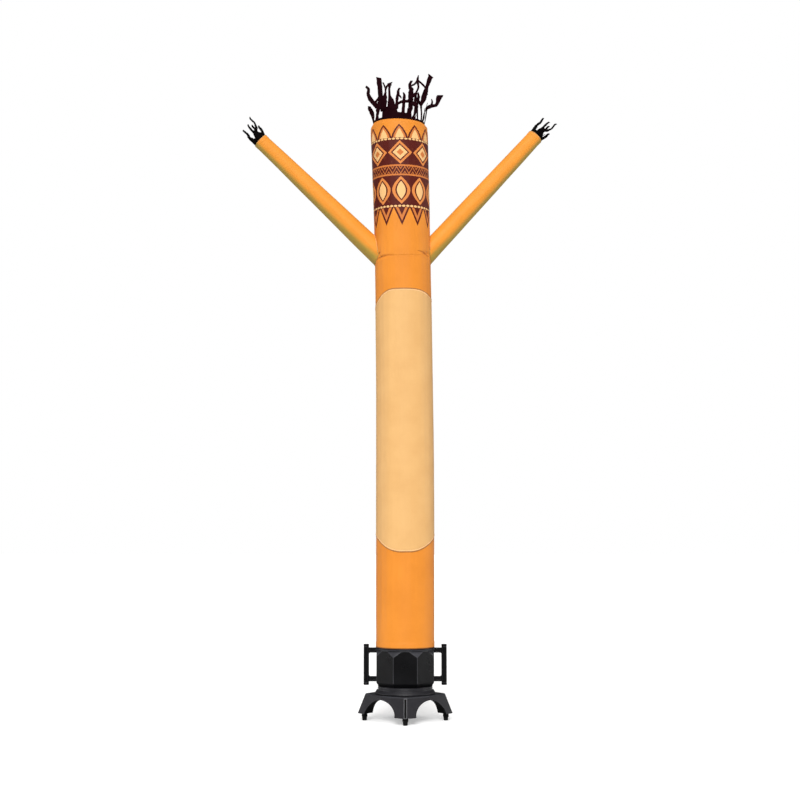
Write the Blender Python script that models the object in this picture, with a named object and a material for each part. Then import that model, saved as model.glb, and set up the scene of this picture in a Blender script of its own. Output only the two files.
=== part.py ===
"""Inflatable air dancer on its blower: a cloth tube figure about 3.5 m high, metres, +Z up.

The figure faces -Y. Azimuths round the body are measured from the front, towards +X.
Everything hangs on one empty on the blower's axis, so the middle of the figure's width
lies over the origin, on the floor.
"""

import math

import bmesh
import bpy
from mathutils import Matrix, Vector

AXIS_X = 0.015              # blower's axis, so that the uneven arms and lean are centred
GAP = 0.0003                # clearance between two fitted pieces

# Blower, from the floor up
FOOT_RADIUS = 0.0157        # collar of a stub foot
FOOT_TIP_RADIUS = 0.0105
FOOT_COLLAR = 0.021         # height where the taper starts
FOOT_EDGE = 0.002
FOOT_CIRCLE = 0.216         # distance of each foot from the axis
LEG_BOTTOM = 0.038
DECK_TOP = 0.1415
DECK_THICK = 0.0135
RIDGE_BOTTOM = 0.252        # leg ridge's distance from the axis at the leg's end
RIDGE_TOP = 0.211           # and at the deck
CREASE_SHARE = 0.85         # skirt's radius halfway between two legs, as a share of the ridge's
RIDGE_FLAT = 0.011          # width of the flat along each ridge
ARCH_HALF_WIDTH = 0.113
ARCH_HEIGHT = 0.082         # above the leg ends
ARCH_POWER = 1.5            # 2 would be an ellipse, less is more pointed
CAVITY_BOTTOM_RADIUS = 0.174
CAVITY_TOP_RADIUS = 0.155
AIR_RADIUS = 0.135          # air way through deck and neck
NECK_TOP = 0.1817
NECK_STEPS = (              # outer radius, height: the neck draws in by two steps, then flares
    (0.1600, DECK_TOP + GAP),
    (0.1580, 0.1470),
    (0.1500, 0.1570),
    (0.1475, 0.1600),
    (0.1475, 0.1665),
    (0.1435, 0.1695),
    (0.1435, 0.1755),
    (0.1465, 0.1785),
    (0.1465, NECK_TOP),
)
HOUSING_BOTTOM = 0.1820
HOUSING_TOP = 0.3710
HOUSING_FLAT = 0.1525       # axis to each of the eight flats
HOUSING_BORE = 0.142
HOUSING_FLOOR = 0.010
INTAKE_RADIUS = 0.100
TOP_CHAMFER = (0.043, 0.030)        # along each flat, and down the corner edge
BOTTOM_CHAMFER = (0.020, 0.016)
RIM_TOP = 0.3847
RIM_RADIUS = 0.157
RIM_EDGE = 0.002            # bevel on the rim's and the collar's edges
COLLAR_TOP = 0.455
COLLAR_RADIUS = 0.1533
COLLAR_WALL = 0.004
GRIP_RADIUS = 0.0133
GRIP_X = 0.207              # grip bar's distance from the axis
GRIP_BOTTOM, GRIP_TOP = 0.186, 0.401
GRIP_ARM_LOW, GRIP_ARM_HIGH = 0.205, 0.382
GRIP_ARM_THICK = 0.026      # height of each arm
GRIP_DEPTH = 0.024
GRIP_CORNER = 0.008
GRIP_END = 0.003            # bevel on the bar's ends
TURNED_SIDES = 40           # facets round the blower's turned pieces
CUT_PAST = 0.02             # how far a cutter runs past the face it opens

# Cloth figure
WALL = 0.0012               # coated ripstop and its seams
SIDES = 48                  # facets round the body tube
HEM_Z = RIM_TOP + GAP
SEAM_Z = 2.478              # chest seam
SEAM_RISE = 0.012           # it runs this much higher at the sides
RIM_Z = 3.228               # open top edge
RIM_DROP = 0.003            # the top edge tips this much down towards +X
LEAN = 0.034                # the top stands this far over to -X
LEAN_POWER = 3.3
BODY_RADII = (              # height, outer radius
    (HEM_Z, 0.1550),
    (1.30, 0.1545),
    (1.85, 0.1525),
    (2.55, 0.1525),
    (2.95, 0.1560),
    (3.17, 0.1578),
    (3.205, 0.1560),
    (RIM_Z, 0.1430),
)
LOWER_ROWS = (0.41, 0.65, 0.90, 1.15, 1.40, 1.65, 1.90, 2.10, 2.28, 2.38, 2.43, 2.46)
HEAD_ROWS = (2.505, 2.53, 2.58, 2.67, 2.80, 2.94, 3.06, 3.14, 3.18, 3.205)
TUCKS = (                   # armpit creases: azimuth, height, depth, half length (deg), half width
    (-66, 2.490, 0.0050, 13, 0.014),
    (-62, 2.520, 0.0035, 9, 0.010),
    (64, 2.498, 0.0045, 12, 0.014),
    (70, 2.525, 0.0030, 9, 0.010),
)

PANEL_EDGE = 97.5           # azimuth of the belly panel's two upright edges
PANEL_THICK = 0.0012
PANEL_FLAT_END = 105        # azimuth where a rounded corner would run out
PANEL_BOTTOM = (0.895, 0.090, 14)   # height in front, rise at the corners, azimuth it starts at
PANEL_TOP = (2.2935, -0.085, 18)
PANEL_ROWS = 12

ARMS = (                    # name, azimuth, elevation, height where axes cross, length, root and tip radius
    ("left", -86, 43.7, 2.384, 0.868, 0.0598, 0.0420),
    ("right", 99, 47.9, 2.3685, 0.892, 0.0552, 0.0437),
)
ARM_SIDES = 24
ARM_ROWS = (0.02, 0.30, 0.60)
ARM_INSIDE = 0.13           # how far a sleeve's cutter starts inside the body
ARMHOLE_EDGE = 0.002        # body cloth left inside the sleeve's end

# Black cut fringe
FRINGE_WALL = 0.0024
STRIP_THICK = 0.0016
HAIR_RING_ABOVE = 0.014
STRIP_FOOT = 0.004          # how far a strip's foot is let into the ring
TURN_RATE = 1.6             # a front strip faces the front from 1 / 1.6 of its length on
HAIR_BAND = (               # uncut part of the hair: from azimuth, to azimuth, height over the edge
    (-44, -3, 0.070),
    (-3, 19, 0.038),
    (19, 30, 0.062),
)
HAIR = (                    # azimuth, then points: sideways, height over the top edge, width (mm)
    (-84, ((-142, 8, 18), (-145, 41, 16), (-153, 70, 14), (-163, 90, 13), (-167, 104, 8))),
    (-61.5, ((-123, 8, 22), (-116, 39, 19), (-112, 79, 23), (-133, 101, 22), (-155, 127, 20),
           (-168, 155, 16), (-166, 177, 13), (-182, 191, 10))),
    (-48.5, ((-105, 8, 16), (-99, 54, 22), (-101, 104, 23), (-101, 160, 22), (-107, 238, 24))),
    (-36.5, ((-83, 60, 16), (-78, 111, 16), (-73, 150, 9), (-73, 175, 8), (-86, 208, 6))),
    (-17, ((-41, 60, 36), (-43, 98, 31), (-50, 126, 13), (-52, 168, 10), (-50, 187, 16),
           (-50, 201, 24))),
    (-5, ((-13, 60, 16), (-11, 108, 13), (-5, 140, 14), (-3, 160, 10), (6, 171, 8))),
    (9.5, ((23, 30, 16), (27, 101, 14), (30, 131, 12), (24, 148, 5))),
    (25.5, ((62, 50, 20), (68, 91, 25), (65, 130, 22), (69, 164, 22), (61, 195, 13), (73, 218, 10))),
    (35.5, ((82, 8, 10), (91, 68, 12), (91, 118, 14), (96, 154, 9), (108, 185, 9),
          (103, 221, 12), (108, 252, 4))),
    (46.5, ((102, 8, 9), (101, 90, 9), (108, 135, 13), (106, 163, 4))),
    (60.5, ((123, 8, 12), (124, 58, 10), (123, 97, 11), (135, 133, 24), (146, 170, 24),
          (155, 200, 16), (176, 254, 25))),
    (85, ((141, 8, 19), (150, 65, 13), (152, 95, 14), (174, 110, 18), (206, 117, 15),
          (217, 138, 20), (227, 166, 27))),
)
HAIR_SNIPS = (              # side cuts: which strip they leave, then points as there
    (0, ((-148, 50, 8), (-157, 59, 7), (-164, 70, 4))),
    (1, ((-131, 100, 12), (-120, 122, 11), (-103, 134, 12))),
    (3, ((-73, 164, 8), (-66, 183, 9), (-57, 200, 8))),
    (5, ((-5, 132, 10), (6, 125, 9), (13, 112, 4))),
    (6, ((-9, 84, 14), (12, 95, 13), (27, 100, 12))),
    (6, ((28, 98, 13), (46, 98, 13), (64, 112, 14))),
    (8, ((102, 221, 9), (86, 202, 9), (70, 194, 8))),
    (8, ((103, 226, 8), (124, 207, 9), (146, 184, 9))),
    (11, ((174, 108, 11), (184, 129, 9), (181, 152, 4))),
    (11, ((214, 130, 14), (212, 152, 12), (211, 170, 5))),
)
BACK_HAIR = (104, 256, 11)  # first and last azimuth of the strips behind, and how many
BACK_HAIR_HEIGHT = (0.085, 0.145)
BACK_SHAPE = (0.16, 0.13, 0.15)     # width at the foot, sway and outward bend, per length
HAND_RING_DEPTH = 0.020     # into the sleeve
HAND_RING_OUT = 0.015       # past the cuff
HAND = (                    # azimuth round the cuff, then points: across the sleeve, out of it, width (mm)
    (27, ((33, 9, 12), (37, 22, 9), (43, 40, 8), (44, 53, 7), (50, 63, 4))),
    (80, ((7, 8, 24), (6, 28, 22), (7, 46, 22), (3, 60, 8), (5, 76, 9), (8, 92, 7), (14, 104, 5))),
    (143, ((-30, 8, 20), (-31, 28, 20), (-32, 42, 10), (-29, 56, 9), (-24, 70, 10), (-25, 88, 7),
           (-25, 104, 6))),
)
HAND_SNIPS = (
    (1, ((12, 44, 14), (22, 52, 13), (31, 58, 12), (36, 68, 9), (43, 80, 8), (46, 92, 8),
         (46, 114, 8), (53, 126, 4))),
    (1, ((16, 48, 12), (21, 62, 10), (23, 78, 9), (27, 87, 4))),
)
BACK_HAND = (               # azimuth round the cuff, length (mm) of the strips on the far side
    (224, 52),
    (276, 48),
    (322, 50),
)
HAND_BACKWARD = 0.25        # the front strips lean this much per length towards the sleeve's axis
HANDS = {                   # turn of the pattern round the arm, stretch, slant
    "left": (0, 1.0, 0.0),
    "right": (180, 1.13, 0.10),
}

COLOURS = {                 # linear colour, roughness
    "black_moulding": ((0.012, 0.012, 0.014), 0.45),
    "black_rubber": ((0.006, 0.006, 0.006), 0.8),
    "orange_cloth": ((0.92, 0.32, 0.06), 0.6),
    "cream_cloth": ((0.95, 0.58, 0.24), 0.6),
    "black_cloth": ((0.010, 0.004, 0.005), 0.7),
}


def clear_scene():
    for obj in list(bpy.data.objects):
        bpy.data.objects.remove(obj, do_unlink=True)


def material(name, kind):
    colour, roughness = COLOURS[kind]
    made = bpy.data.materials.new(name)
    made.use_nodes = True
    shader = made.node_tree.nodes["Principled BSDF"]
    shader.inputs["Base Color"].default_value = (*colour, 1.0)
    shader.inputs["Roughness"].default_value = roughness
    return made


def finish(name, bm, kind, root, smooth=True):
    """The bmesh as a named object under the root, with its own material."""
    bmesh.ops.recalc_face_normals(bm, faces=bm.faces)
    mesh = bpy.data.meshes.new(name)
    bm.to_mesh(mesh)
    bm.free()
    if smooth:
        mesh.shade_smooth()
        mesh.set_sharp_from_angle(angle=math.radians(35))
    mesh.materials.append(material(name, kind))
    obj = bpy.data.objects.new(name, mesh)
    bpy.context.collection.objects.link(obj)
    obj.parent = root
    return obj


def as_cutter(obj):
    obj.hide_render = True
    obj.display_type = "WIRE"
    return obj


def boolean(obj, other, operation):
    made = obj.modifiers.new(f"{operation.lower()} {other.name}", "BOOLEAN")
    made.operation = operation
    made.solver = "EXACT"
    made.object = other
    return made


def bridge_rows(bm, rows, closed=True):
    """Quads between consecutive rows of vertices, each row a ring when closed."""
    count = len(rows[0])
    for low, high in zip(rows, rows[1:]):
        for i in range(count if closed else count - 1):
            j = (i + 1) % count
            bm.faces.new((low[i], low[j], high[j], high[i]))


def turned(profile, segments):
    """A ring turned round the Z axis from a closed profile of (radius, height) points."""
    bm = bmesh.new()
    columns = []
    for k in range(segments):
        angle = 2 * math.pi * k / segments
        side = Vector((math.sin(angle), -math.cos(angle), 0))
        columns.append([bm.verts.new(side * r + Vector((0, 0, z))) for r, z in profile])
    columns.append(columns[0])
    bridge_rows(bm, columns)
    return bm


def cone(low_radius, high_radius, low, high, segments):
    bm = bmesh.new()
    bmesh.ops.create_cone(
        bm, cap_ends=True, segments=segments, radius1=low_radius, radius2=high_radius, depth=high - low
    )
    bmesh.ops.translate(bm, verts=bm.verts, vec=(0, 0, (low + high) / 2))
    return bm


# ---------------------------------------------------------------- blower


def skirt_outline(ridge):
    """Plan of the skirt where its four ridges stand this far out: ridge flats and creases."""
    points = []
    for leg in range(4):
        turn = Matrix.Rotation(math.radians(90 * leg), 3, "Z")
        points.append(turn @ Vector((-RIDGE_FLAT / 2, -ridge, 0)))
        points.append(turn @ Vector((RIDGE_FLAT / 2, -ridge, 0)))
        crease = ridge * CREASE_SHARE * math.sqrt(0.5)
        points.append(turn @ Vector((crease, -crease, 0)))
    return points


def arch_outline(steps=9):
    """One arch across the skirt's diagonal, run on below the legs: (sideways, height)."""
    right = []
    for k in range(steps):
        angle = math.pi / 2 * k / (steps - 1)
        across = math.cos(angle) ** (2 / ARCH_POWER) * ARCH_HALF_WIDTH
        up = math.sin(angle) ** (2 / ARCH_POWER) * ARCH_HEIGHT
        right.append((across, LEG_BOTTOM + up))
    left = [(-across, up) for across, up in reversed(right[:-1])]
    under = LEG_BOTTOM - CUT_PAST
    return [(ARCH_HALF_WIDTH, under)] + right + left + [(-ARCH_HALF_WIDTH, under)]


def blower_base(root):
    bm = bmesh.new()
    rows = []
    for ridge, height in ((RIDGE_BOTTOM, LEG_BOTTOM), (RIDGE_TOP, DECK_TOP)):
        rows.append([bm.verts.new(p + Vector((0, 0, height))) for p in skirt_outline(ridge)])
    bridge_rows(bm, rows)
    bm.faces.new(rows[0][::-1])
    bm.faces.new(rows[1])
    base = finish("blower_base", bm, "black_moulding", root)

    ceiling = DECK_TOP - DECK_THICK
    slope = (CAVITY_BOTTOM_RADIUS - CAVITY_TOP_RADIUS) / (ceiling - LEG_BOTTOM)
    mouth = CAVITY_BOTTOM_RADIUS + slope * CUT_PAST
    cavity = cone(mouth, CAVITY_TOP_RADIUS, LEG_BOTTOM - CUT_PAST, ceiling, TURNED_SIDES)
    boolean(base, as_cutter(finish("cut_cavity", cavity, "black_moulding", root)), "DIFFERENCE")
    bore = cone(AIR_RADIUS, AIR_RADIUS, ceiling - CUT_PAST, DECK_TOP + CUT_PAST, TURNED_SIDES)
    boolean(base, as_cutter(finish("cut_deck_bore", bore, "black_moulding", root)), "DIFFERENCE")
    for name, angle in (("cut_arch_a", 45), ("cut_arch_b", -45)):
        bm = bmesh.new()
        turn = Matrix.Rotation(math.radians(angle), 3, "Z")
        ends = []
        for far in (-RIDGE_BOTTOM - CUT_PAST, RIDGE_BOTTOM + CUT_PAST):
            ends.append([bm.verts.new(turn @ Vector((s, far, z))) for s, z in arch_outline()])
        bridge_rows(bm, ends)
        bm.faces.new(ends[0][::-1])
        bm.faces.new(ends[1])
        boolean(base, as_cutter(finish(name, bm, "black_moulding", root)), "DIFFERENCE")


def feet(root):
    """Stub feet: a straight collar against the leg's end, then a taper to the floor."""
    profile = (
        (0.0, LEG_BOTTOM - GAP),
        (FOOT_RADIUS, LEG_BOTTOM - GAP),
        (FOOT_RADIUS, FOOT_COLLAR),
        (FOOT_RADIUS - FOOT_EDGE, FOOT_COLLAR - FOOT_EDGE),
        (FOOT_TIP_RADIUS + FOOT_EDGE / 2, FOOT_EDGE),
        (FOOT_TIP_RADIUS, 0.0),
        (0.0, 0.0),
    )
    for leg, name in enumerate(("front", "right", "back", "left")):
        foot = finish(f"foot_{name}", bar(profile), "black_rubber", root)
        angle = math.radians(90 * leg)
        foot.location = (FOOT_CIRCLE * math.sin(angle), -FOOT_CIRCLE * math.cos(angle), 0)


def blower_neck(root):
    profile = ((AIR_RADIUS, DECK_TOP + GAP),) + NECK_STEPS + ((AIR_RADIUS, NECK_TOP),)
    finish("blower_neck", turned(profile, TURNED_SIDES), "black_moulding", root)


def cut_corner(bm, corner_angle, height, level, chamfer):
    """Slices the corner of the octagon at this azimuth and height, level 1 for top, -1 for bottom."""
    along, down = chamfer
    corner_radius = HOUSING_FLAT / math.cos(math.pi / 8)
    side = Vector((math.sin(corner_angle), -math.cos(corner_angle), 0))
    inner = side * (corner_radius - along * math.sin(math.pi / 8)) + Vector((0, 0, height))
    apex = side * corner_radius + Vector((0, 0, height - level * down))
    tangent = Vector((0, 0, 1)).cross(side)
    normal = (apex - inner).cross(tangent).normalized()
    if normal.dot(side) < 0:
        normal.negate()
    geom = list(bm.verts) + list(bm.edges) + list(bm.faces)
    bmesh.ops.bisect_plane(bm, geom=geom, dist=1e-7, plane_co=inner, plane_no=normal, clear_outer=True)
    bmesh.ops.holes_fill(bm, edges=[e for e in bm.edges if e.is_boundary])


def blower_housing(root):
    corner_radius = HOUSING_FLAT / math.cos(math.pi / 8)
    bm = cone(corner_radius, corner_radius, HOUSING_BOTTOM, HOUSING_TOP, 8)
    bmesh.ops.rotate(bm, verts=bm.verts, matrix=Matrix.Rotation(math.pi / 8, 3, "Z"))
    for k in range(8):
        angle = math.pi / 8 + k * math.pi / 4
        cut_corner(bm, angle, HOUSING_TOP, 1, TOP_CHAMFER)
        cut_corner(bm, angle, HOUSING_BOTTOM, -1, BOTTOM_CHAMFER)
    housing = finish("blower_housing", bm, "black_moulding", root, smooth=False)
    floor = HOUSING_BOTTOM + HOUSING_FLOOR
    bore = cone(HOUSING_BORE, HOUSING_BORE, floor, HOUSING_TOP + CUT_PAST, SIDES)
    boolean(housing, as_cutter(finish("cut_housing_bore", bore, "black_moulding", root)), "DIFFERENCE")
    intake = cone(INTAKE_RADIUS, INTAKE_RADIUS, HOUSING_BOTTOM - CUT_PAST, floor + CUT_PAST, TURNED_SIDES)
    boolean(housing, as_cutter(finish("cut_intake", intake, "black_moulding", root)), "DIFFERENCE")


def outlet_rim(root):
    inner = COLLAR_RADIUS - COLLAR_WALL
    profile = (
        (HOUSING_BORE, HOUSING_TOP + GAP),
        (RIM_RADIUS - RIM_EDGE, HOUSING_TOP + GAP),
        (RIM_RADIUS, HOUSING_TOP + GAP + RIM_EDGE),
        (RIM_RADIUS, RIM_TOP - RIM_EDGE),
        (RIM_RADIUS - RIM_EDGE, RIM_TOP),
        (COLLAR_RADIUS, RIM_TOP),
        (COLLAR_RADIUS, COLLAR_TOP - RIM_EDGE),
        (COLLAR_RADIUS - RIM_EDGE, COLLAR_TOP),
        (inner, COLLAR_TOP),
        (inner, RIM_TOP),
        (HOUSING_BORE, HOUSING_TOP + 3 * RIM_EDGE),
    )
    finish("outlet_rim", turned(profile, SIDES), "black_moulding", root)


def bar(profile, sides=16):
    """A solid turned round the Z axis from (radius, height) points that start and end on it."""
    bm = bmesh.new()
    verts = [bm.verts.new((r, 0, z)) for r, z in profile]
    edges = [bm.edges.new(pair) for pair in zip(verts, verts[1:])]
    bmesh.ops.spin(
        bm, geom=verts + edges, cent=(0, 0, 0), axis=(0, 0, 1), angle=2 * math.pi, steps=sides, use_merge=True
    )
    bmesh.ops.remove_doubles(bm, verts=bm.verts, dist=0.00001)
    return bm


def rounded_rectangle(low, high, corner, steps=4):
    """Points of (sideways, height) round a rectangle with arcs at its corners."""
    points = []
    centres = (
        (high[0] - corner, high[1] - corner, 0),
        (low[0] + corner, high[1] - corner, 90),
        (low[0] + corner, low[1] + corner, 180),
        (high[0] - corner, low[1] + corner, 270),
    )
    for x, z, start in centres:
        for k in range(steps + 1):
            angle = math.radians(start + 90 * k / steps)
            points.append((x + corner * math.cos(angle), z + corner * math.sin(angle)))
    return points


def plate(points, depth):
    """An outline of (x, z) points extruded evenly to both sides of Y = 0."""
    bm = bmesh.new()
    ends = [[bm.verts.new((x, y, z)) for x, z in points] for y in (-depth / 2, depth / 2)]
    bridge_rows(bm, ends)
    bm.faces.new(ends[0][::-1])
    bm.faces.new(ends[1])
    return bm


def handle(name, side, root):
    """A C of two arms and a web, with a round grip bar along the web."""
    seat = side * (HOUSING_FLAT + GAP)
    web = side * GRIP_X
    corners = ((seat, GRIP_ARM_LOW), (web, GRIP_ARM_LOW), (web, GRIP_ARM_HIGH), (seat, GRIP_ARM_HIGH))
    handle_obj = finish(name, plate(corners, GRIP_DEPTH), "black_moulding", root)

    inner, outer = side * (HOUSING_FLAT - CUT_PAST), side * (GRIP_X - GRIP_RADIUS)
    window = rounded_rectangle(
        (min(inner, outer), GRIP_ARM_LOW + GRIP_ARM_THICK),
        (max(inner, outer), GRIP_ARM_HIGH - GRIP_ARM_THICK),
        GRIP_CORNER,
    )
    cut = as_cutter(finish(f"cut_{name}_window", plate(window, GRIP_DEPTH * 2), "black_moulding", root))
    boolean(handle_obj, cut, "DIFFERENCE")

    profile = (
        (0.0, GRIP_TOP),
        (GRIP_RADIUS - GRIP_END, GRIP_TOP),
        (GRIP_RADIUS, GRIP_TOP - GRIP_END),
        (GRIP_RADIUS, GRIP_BOTTOM + GRIP_END),
        (GRIP_RADIUS - GRIP_END, GRIP_BOTTOM),
        (0.0, GRIP_BOTTOM),
    )
    grip = as_cutter(finish(f"join_{name}_bar", bar(profile), "black_moulding", root))
    grip.location = (web, 0, 0)
    boolean(handle_obj, grip, "UNION")

    clear = cone(RIM_RADIUS + GAP, RIM_RADIUS + GAP, HOUSING_TOP - GAP, GRIP_TOP, SIDES * 2)
    cut = as_cutter(finish(f"cut_{name}_rim", clear, "black_moulding", root))
    boolean(handle_obj, cut, "DIFFERENCE")


# ---------------------------------------------------------------- body tube


def smooth(share):
    share = min(max(share, 0.0), 1.0)
    return share * share * (3 - 2 * share)


def body_radius(height):
    for (low, first), (high, last) in zip(BODY_RADII, BODY_RADII[1:]):
        if height <= high:
            return first + (last - first) * smooth((height - low) / (high - low))
    return BODY_RADII[-1][1]


def body_lean(height):
    share = max(0.0, (height - HEM_Z) / (RIM_Z - HEM_Z))
    return -LEAN * share**LEAN_POWER


def tuck_depth(azimuth, height):
    """How far the armpit creases draw the cloth in at this place."""
    depth = 0.0
    for at, level, deep, half_length, half_width in TUCKS:
        along = (azimuth - at) / half_length
        across = (height - level) / half_width
        depth += deep * math.exp(-along * along - across * across)
    return depth


def body_point(azimuth, height, offset=0.0):
    """A point of the body tube's outer face, moved out by offset. Azimuth in degrees."""
    wrapped = (azimuth + 180) % 360 - 180
    radius = body_radius(height) + offset - tuck_depth(wrapped, height)
    angle = math.radians(azimuth)
    return Vector((body_lean(height) + radius * math.sin(angle), -radius * math.cos(angle), height))


def seam_height(azimuth):
    return SEAM_Z + SEAM_RISE * math.sin(math.radians(azimuth)) ** 2


def rim_height(azimuth):
    return RIM_Z - RIM_DROP * math.sin(math.radians(azimuth))


def level(value):
    """A row at one height all round."""
    return lambda azimuth: value


def shell(rows, outer, inner, sides, point):
    """A closed sleeve: rows are functions of azimuth, point gives the place on the surface."""
    bm = bmesh.new()
    azimuths = [360 * k / sides for k in range(sides)]
    out = [[bm.verts.new(point(a, row(a), outer)) for a in azimuths] for row in rows]
    back = [[bm.verts.new(point(a, row(a), inner)) for a in azimuths] for row in rows]
    bridge_rows(bm, out + back[::-1] + [out[0]])
    return bm


def body_tubes(root, cutters):
    lower = [level(HEM_Z)] + [level(z) for z in LOWER_ROWS] + [lambda a: seam_height(a) - GAP / 2]
    head = [lambda a: seam_height(a) + GAP / 2] + [level(z) for z in HEAD_ROWS] + [rim_height]
    for name, rows in (("tube_lower", lower), ("tube_head", head)):
        tube = finish(name, shell(rows, 0.0, -WALL, SIDES, body_point), "orange_cloth", root)
        for cutter in cutters:
            boolean(tube, cutter, "DIFFERENCE")


def panel_height(azimuth, edge):
    """Height of the belly panel's top or bottom edge: level in front, with rounded corners."""
    front, change, start = edge
    share = (abs(azimuth) - start) / (PANEL_FLAT_END - start)
    share = min(max(share, 0.0), 1.0)
    return front + change * (1 - math.cos(math.pi * share)) / 2


def belly_panel(root):
    bm = bmesh.new()
    step = 360 / SIDES
    count = round(2 * PANEL_EDGE / step)
    azimuths = [-PANEL_EDGE + step * k for k in range(count + 1)]
    faces = []
    for offset in (GAP, GAP + PANEL_THICK):
        rows = []
        for r in range(PANEL_ROWS + 1):
            row = []
            for a in azimuths:
                low, high = panel_height(a, PANEL_BOTTOM), panel_height(a, PANEL_TOP)
                row.append(bm.verts.new(body_point(a, low + (high - low) * r / PANEL_ROWS, offset)))
            rows.append(row)
        bridge_rows(bm, rows, closed=False)
        faces.append(rows)
    inner, outer = faces
    border = [
        (inner[0], outer[0]),
        (inner[-1], outer[-1]),
        ([row[0] for row in inner], [row[0] for row in outer]),
        ([row[-1] for row in inner], [row[-1] for row in outer]),
    ]
    for first, second in border:
        bridge_rows(bm, (first, second), closed=False)
    finish("belly_panel", bm, "cream_cloth", root)


# ---------------------------------------------------------------- arms


def arm_frame(azimuth, elevation, axis_height):
    """Root point on the body's face, direction, and two directions across it (sideways, up)."""
    flat = Vector((math.sin(math.radians(azimuth)), -math.cos(math.radians(azimuth)), 0))
    rise = math.radians(elevation)
    along = flat * math.cos(rise) + Vector((0, 0, math.sin(rise)))
    sideways = Vector((0, 0, 1)).cross(flat)
    up = along.cross(sideways)
    if up.z < 0:
        up.negate()
    centre = Vector((body_lean(SEAM_Z), 0, axis_height))
    root = centre + along * (body_radius(SEAM_Z) / math.cos(rise))
    return root, along, sideways, up


def arm_surface(arm):
    """The sleeve's surface as a function of azimuth round it (0 is up), distance and offset."""
    _, azimuth, elevation, axis_height, length, root_radius, tip_radius = arm
    root, along, sideways, up = arm_frame(azimuth, elevation, axis_height)

    def point(around, distance, offset=0.0):
        radius = root_radius + (tip_radius - root_radius) * distance / length + offset
        angle = math.radians(around)
        return root + along * distance + (up * math.cos(angle) + sideways * math.sin(angle)) * radius

    return point


def filled(rows, sides, point, offset):
    """A solid of the same surface, closed with a flat face at each end."""
    bm = bmesh.new()
    azimuths = [360 * k / sides for k in range(sides)]
    rings = [[bm.verts.new(point(a, row(a), offset)) for a in azimuths] for row in rows]
    bridge_rows(bm, rings)
    bm.faces.new(rings[0][::-1])
    bm.faces.new(rings[-1])
    return bm


def armhole_cutters(root):
    cutters = []
    for arm in ARMS:
        rows = [level(-ARM_INSIDE), level(ARM_INSIDE)]
        bm = filled(rows, ARM_SIDES, arm_surface(arm), -WALL - ARMHOLE_EDGE)
        cutters.append(as_cutter(finish(f"cut_armhole_{arm[0]}", bm, "orange_cloth", root)))
    return cutters


def sleeves(root):
    rows = [level(z) for z in LOWER_ROWS[-4:]] + [seam_height] + [level(z) for z in HEAD_ROWS[:6]]
    bm = filled(rows, SIDES, body_point, GAP)
    body_space = as_cutter(finish("cut_body_space", bm, "orange_cloth", root))
    for arm in ARMS:
        length = arm[4]
        rows = [level(-ARM_INSIDE)] + [level(d) for d in ARM_ROWS] + [level(length)]
        bm = shell(rows, 0.0, -WALL, ARM_SIDES, arm_surface(arm))
        sleeve = finish(f"arm_{arm[0]}", bm, "orange_cloth", root)
        boolean(sleeve, body_space, "DIFFERENCE")


# ---------------------------------------------------------------- fringe


def strip(points, widths, facings):
    """A flat strip of cloth with four sides. Facings are its broad side's normals."""
    bm = bmesh.new()
    rings = []
    last = len(points) - 1
    for k, (point, width, facing) in enumerate(zip(points, widths, facings)):
        along = (points[min(k + 1, last)] - points[max(k - 1, 0)]).normalized()
        across = along.cross(facing).normalized() * width / 2
        thick = across.cross(along).normalized() * STRIP_THICK / 2
        rings.append([bm.verts.new(point + a + t) for a, t in ((across, thick), (-across, thick))])
        rings[-1] += [bm.verts.new(point + a + t) for a, t in ((-across, -thick), (across, -thick))]
    bridge_rows(bm, rings)
    bm.faces.new(rings[0][::-1])
    bm.faces.new(rings[-1])
    return bm


def join_strips(ring, strips, root):
    """Fuses each strip's foot into the ring that carries it."""
    for k, bm in enumerate(strips):
        joined = as_cutter(finish(f"join_{ring.name}_{k:02d}", bm, "black_cloth", root))
        boolean(ring, joined, "UNION")


def hair_band(azimuth):
    """Height of the fringe's uncut part over the top edge."""
    for first, last, height in HAIR_BAND:
        if first <= azimuth <= last:
            return height
    return HAIR_RING_ABOVE


def hair_ring_point(azimuth, height, offset):
    """A place on the fringe's ring: it lines the top edge and goes on straight above it."""
    edge = min(height, rim_height(azimuth))
    return body_point(azimuth, edge, offset - WALL - GAP) + Vector((0, 0, height - edge))


def drawn(frame, start, outline):
    """Places of a strip's (sideways, height, width) points, where start lies on the frame's origin."""
    origin, across, along, _ = frame
    return [origin + (across * (x - start[0]) + along * (h - start[1])) / 1000 for x, h, _ in outline]


def front_strip(frame, outward, outline):
    """A strip drawn in the front view. It leaves its ring face on and turns to the front."""
    points = drawn(frame, outline[0], outline)
    foot = points[0] - frame[2].normalized() * STRIP_FOOT
    widths = [width / 1000 for _, _, width in outline]
    facings = []
    for k in range(len(outline)):
        share = smooth(TURN_RATE * k / (len(outline) - 1))
        facings.append(outward.lerp(frame[3], share).normalized())
    return strip([foot] + points, widths[:1] + widths, facings[:1] + facings)


def side_snip(frame, start, outline):
    """A side cut of a front strip: it lies in the same plane as that strip's outer part."""
    points = drawn(frame, start, outline)
    return strip(points, [width / 1000 for _, _, width in outline], [frame[3]] * len(points))


def back_strip(index, root, along, outward, length):
    """A strip on the far side: it stands out of its ring with a bend of its own."""
    wide, sway, bend = (share * length for share in BACK_SHAPE)
    tangent = along.cross(outward)
    points, widths = [], []
    for share in (0.0, 0.2, 0.5, 0.75, 1.0):
        side = sway * (math.sin(4.1 * share + 2.3 * index) - math.sin(2.3 * index))
        points.append(root + along * length * share + tangent * side + outward * bend * share**2)
        widths.append(wide * (1 - 0.75 * share))
    return strip(points, widths, [outward] * len(points))


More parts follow.
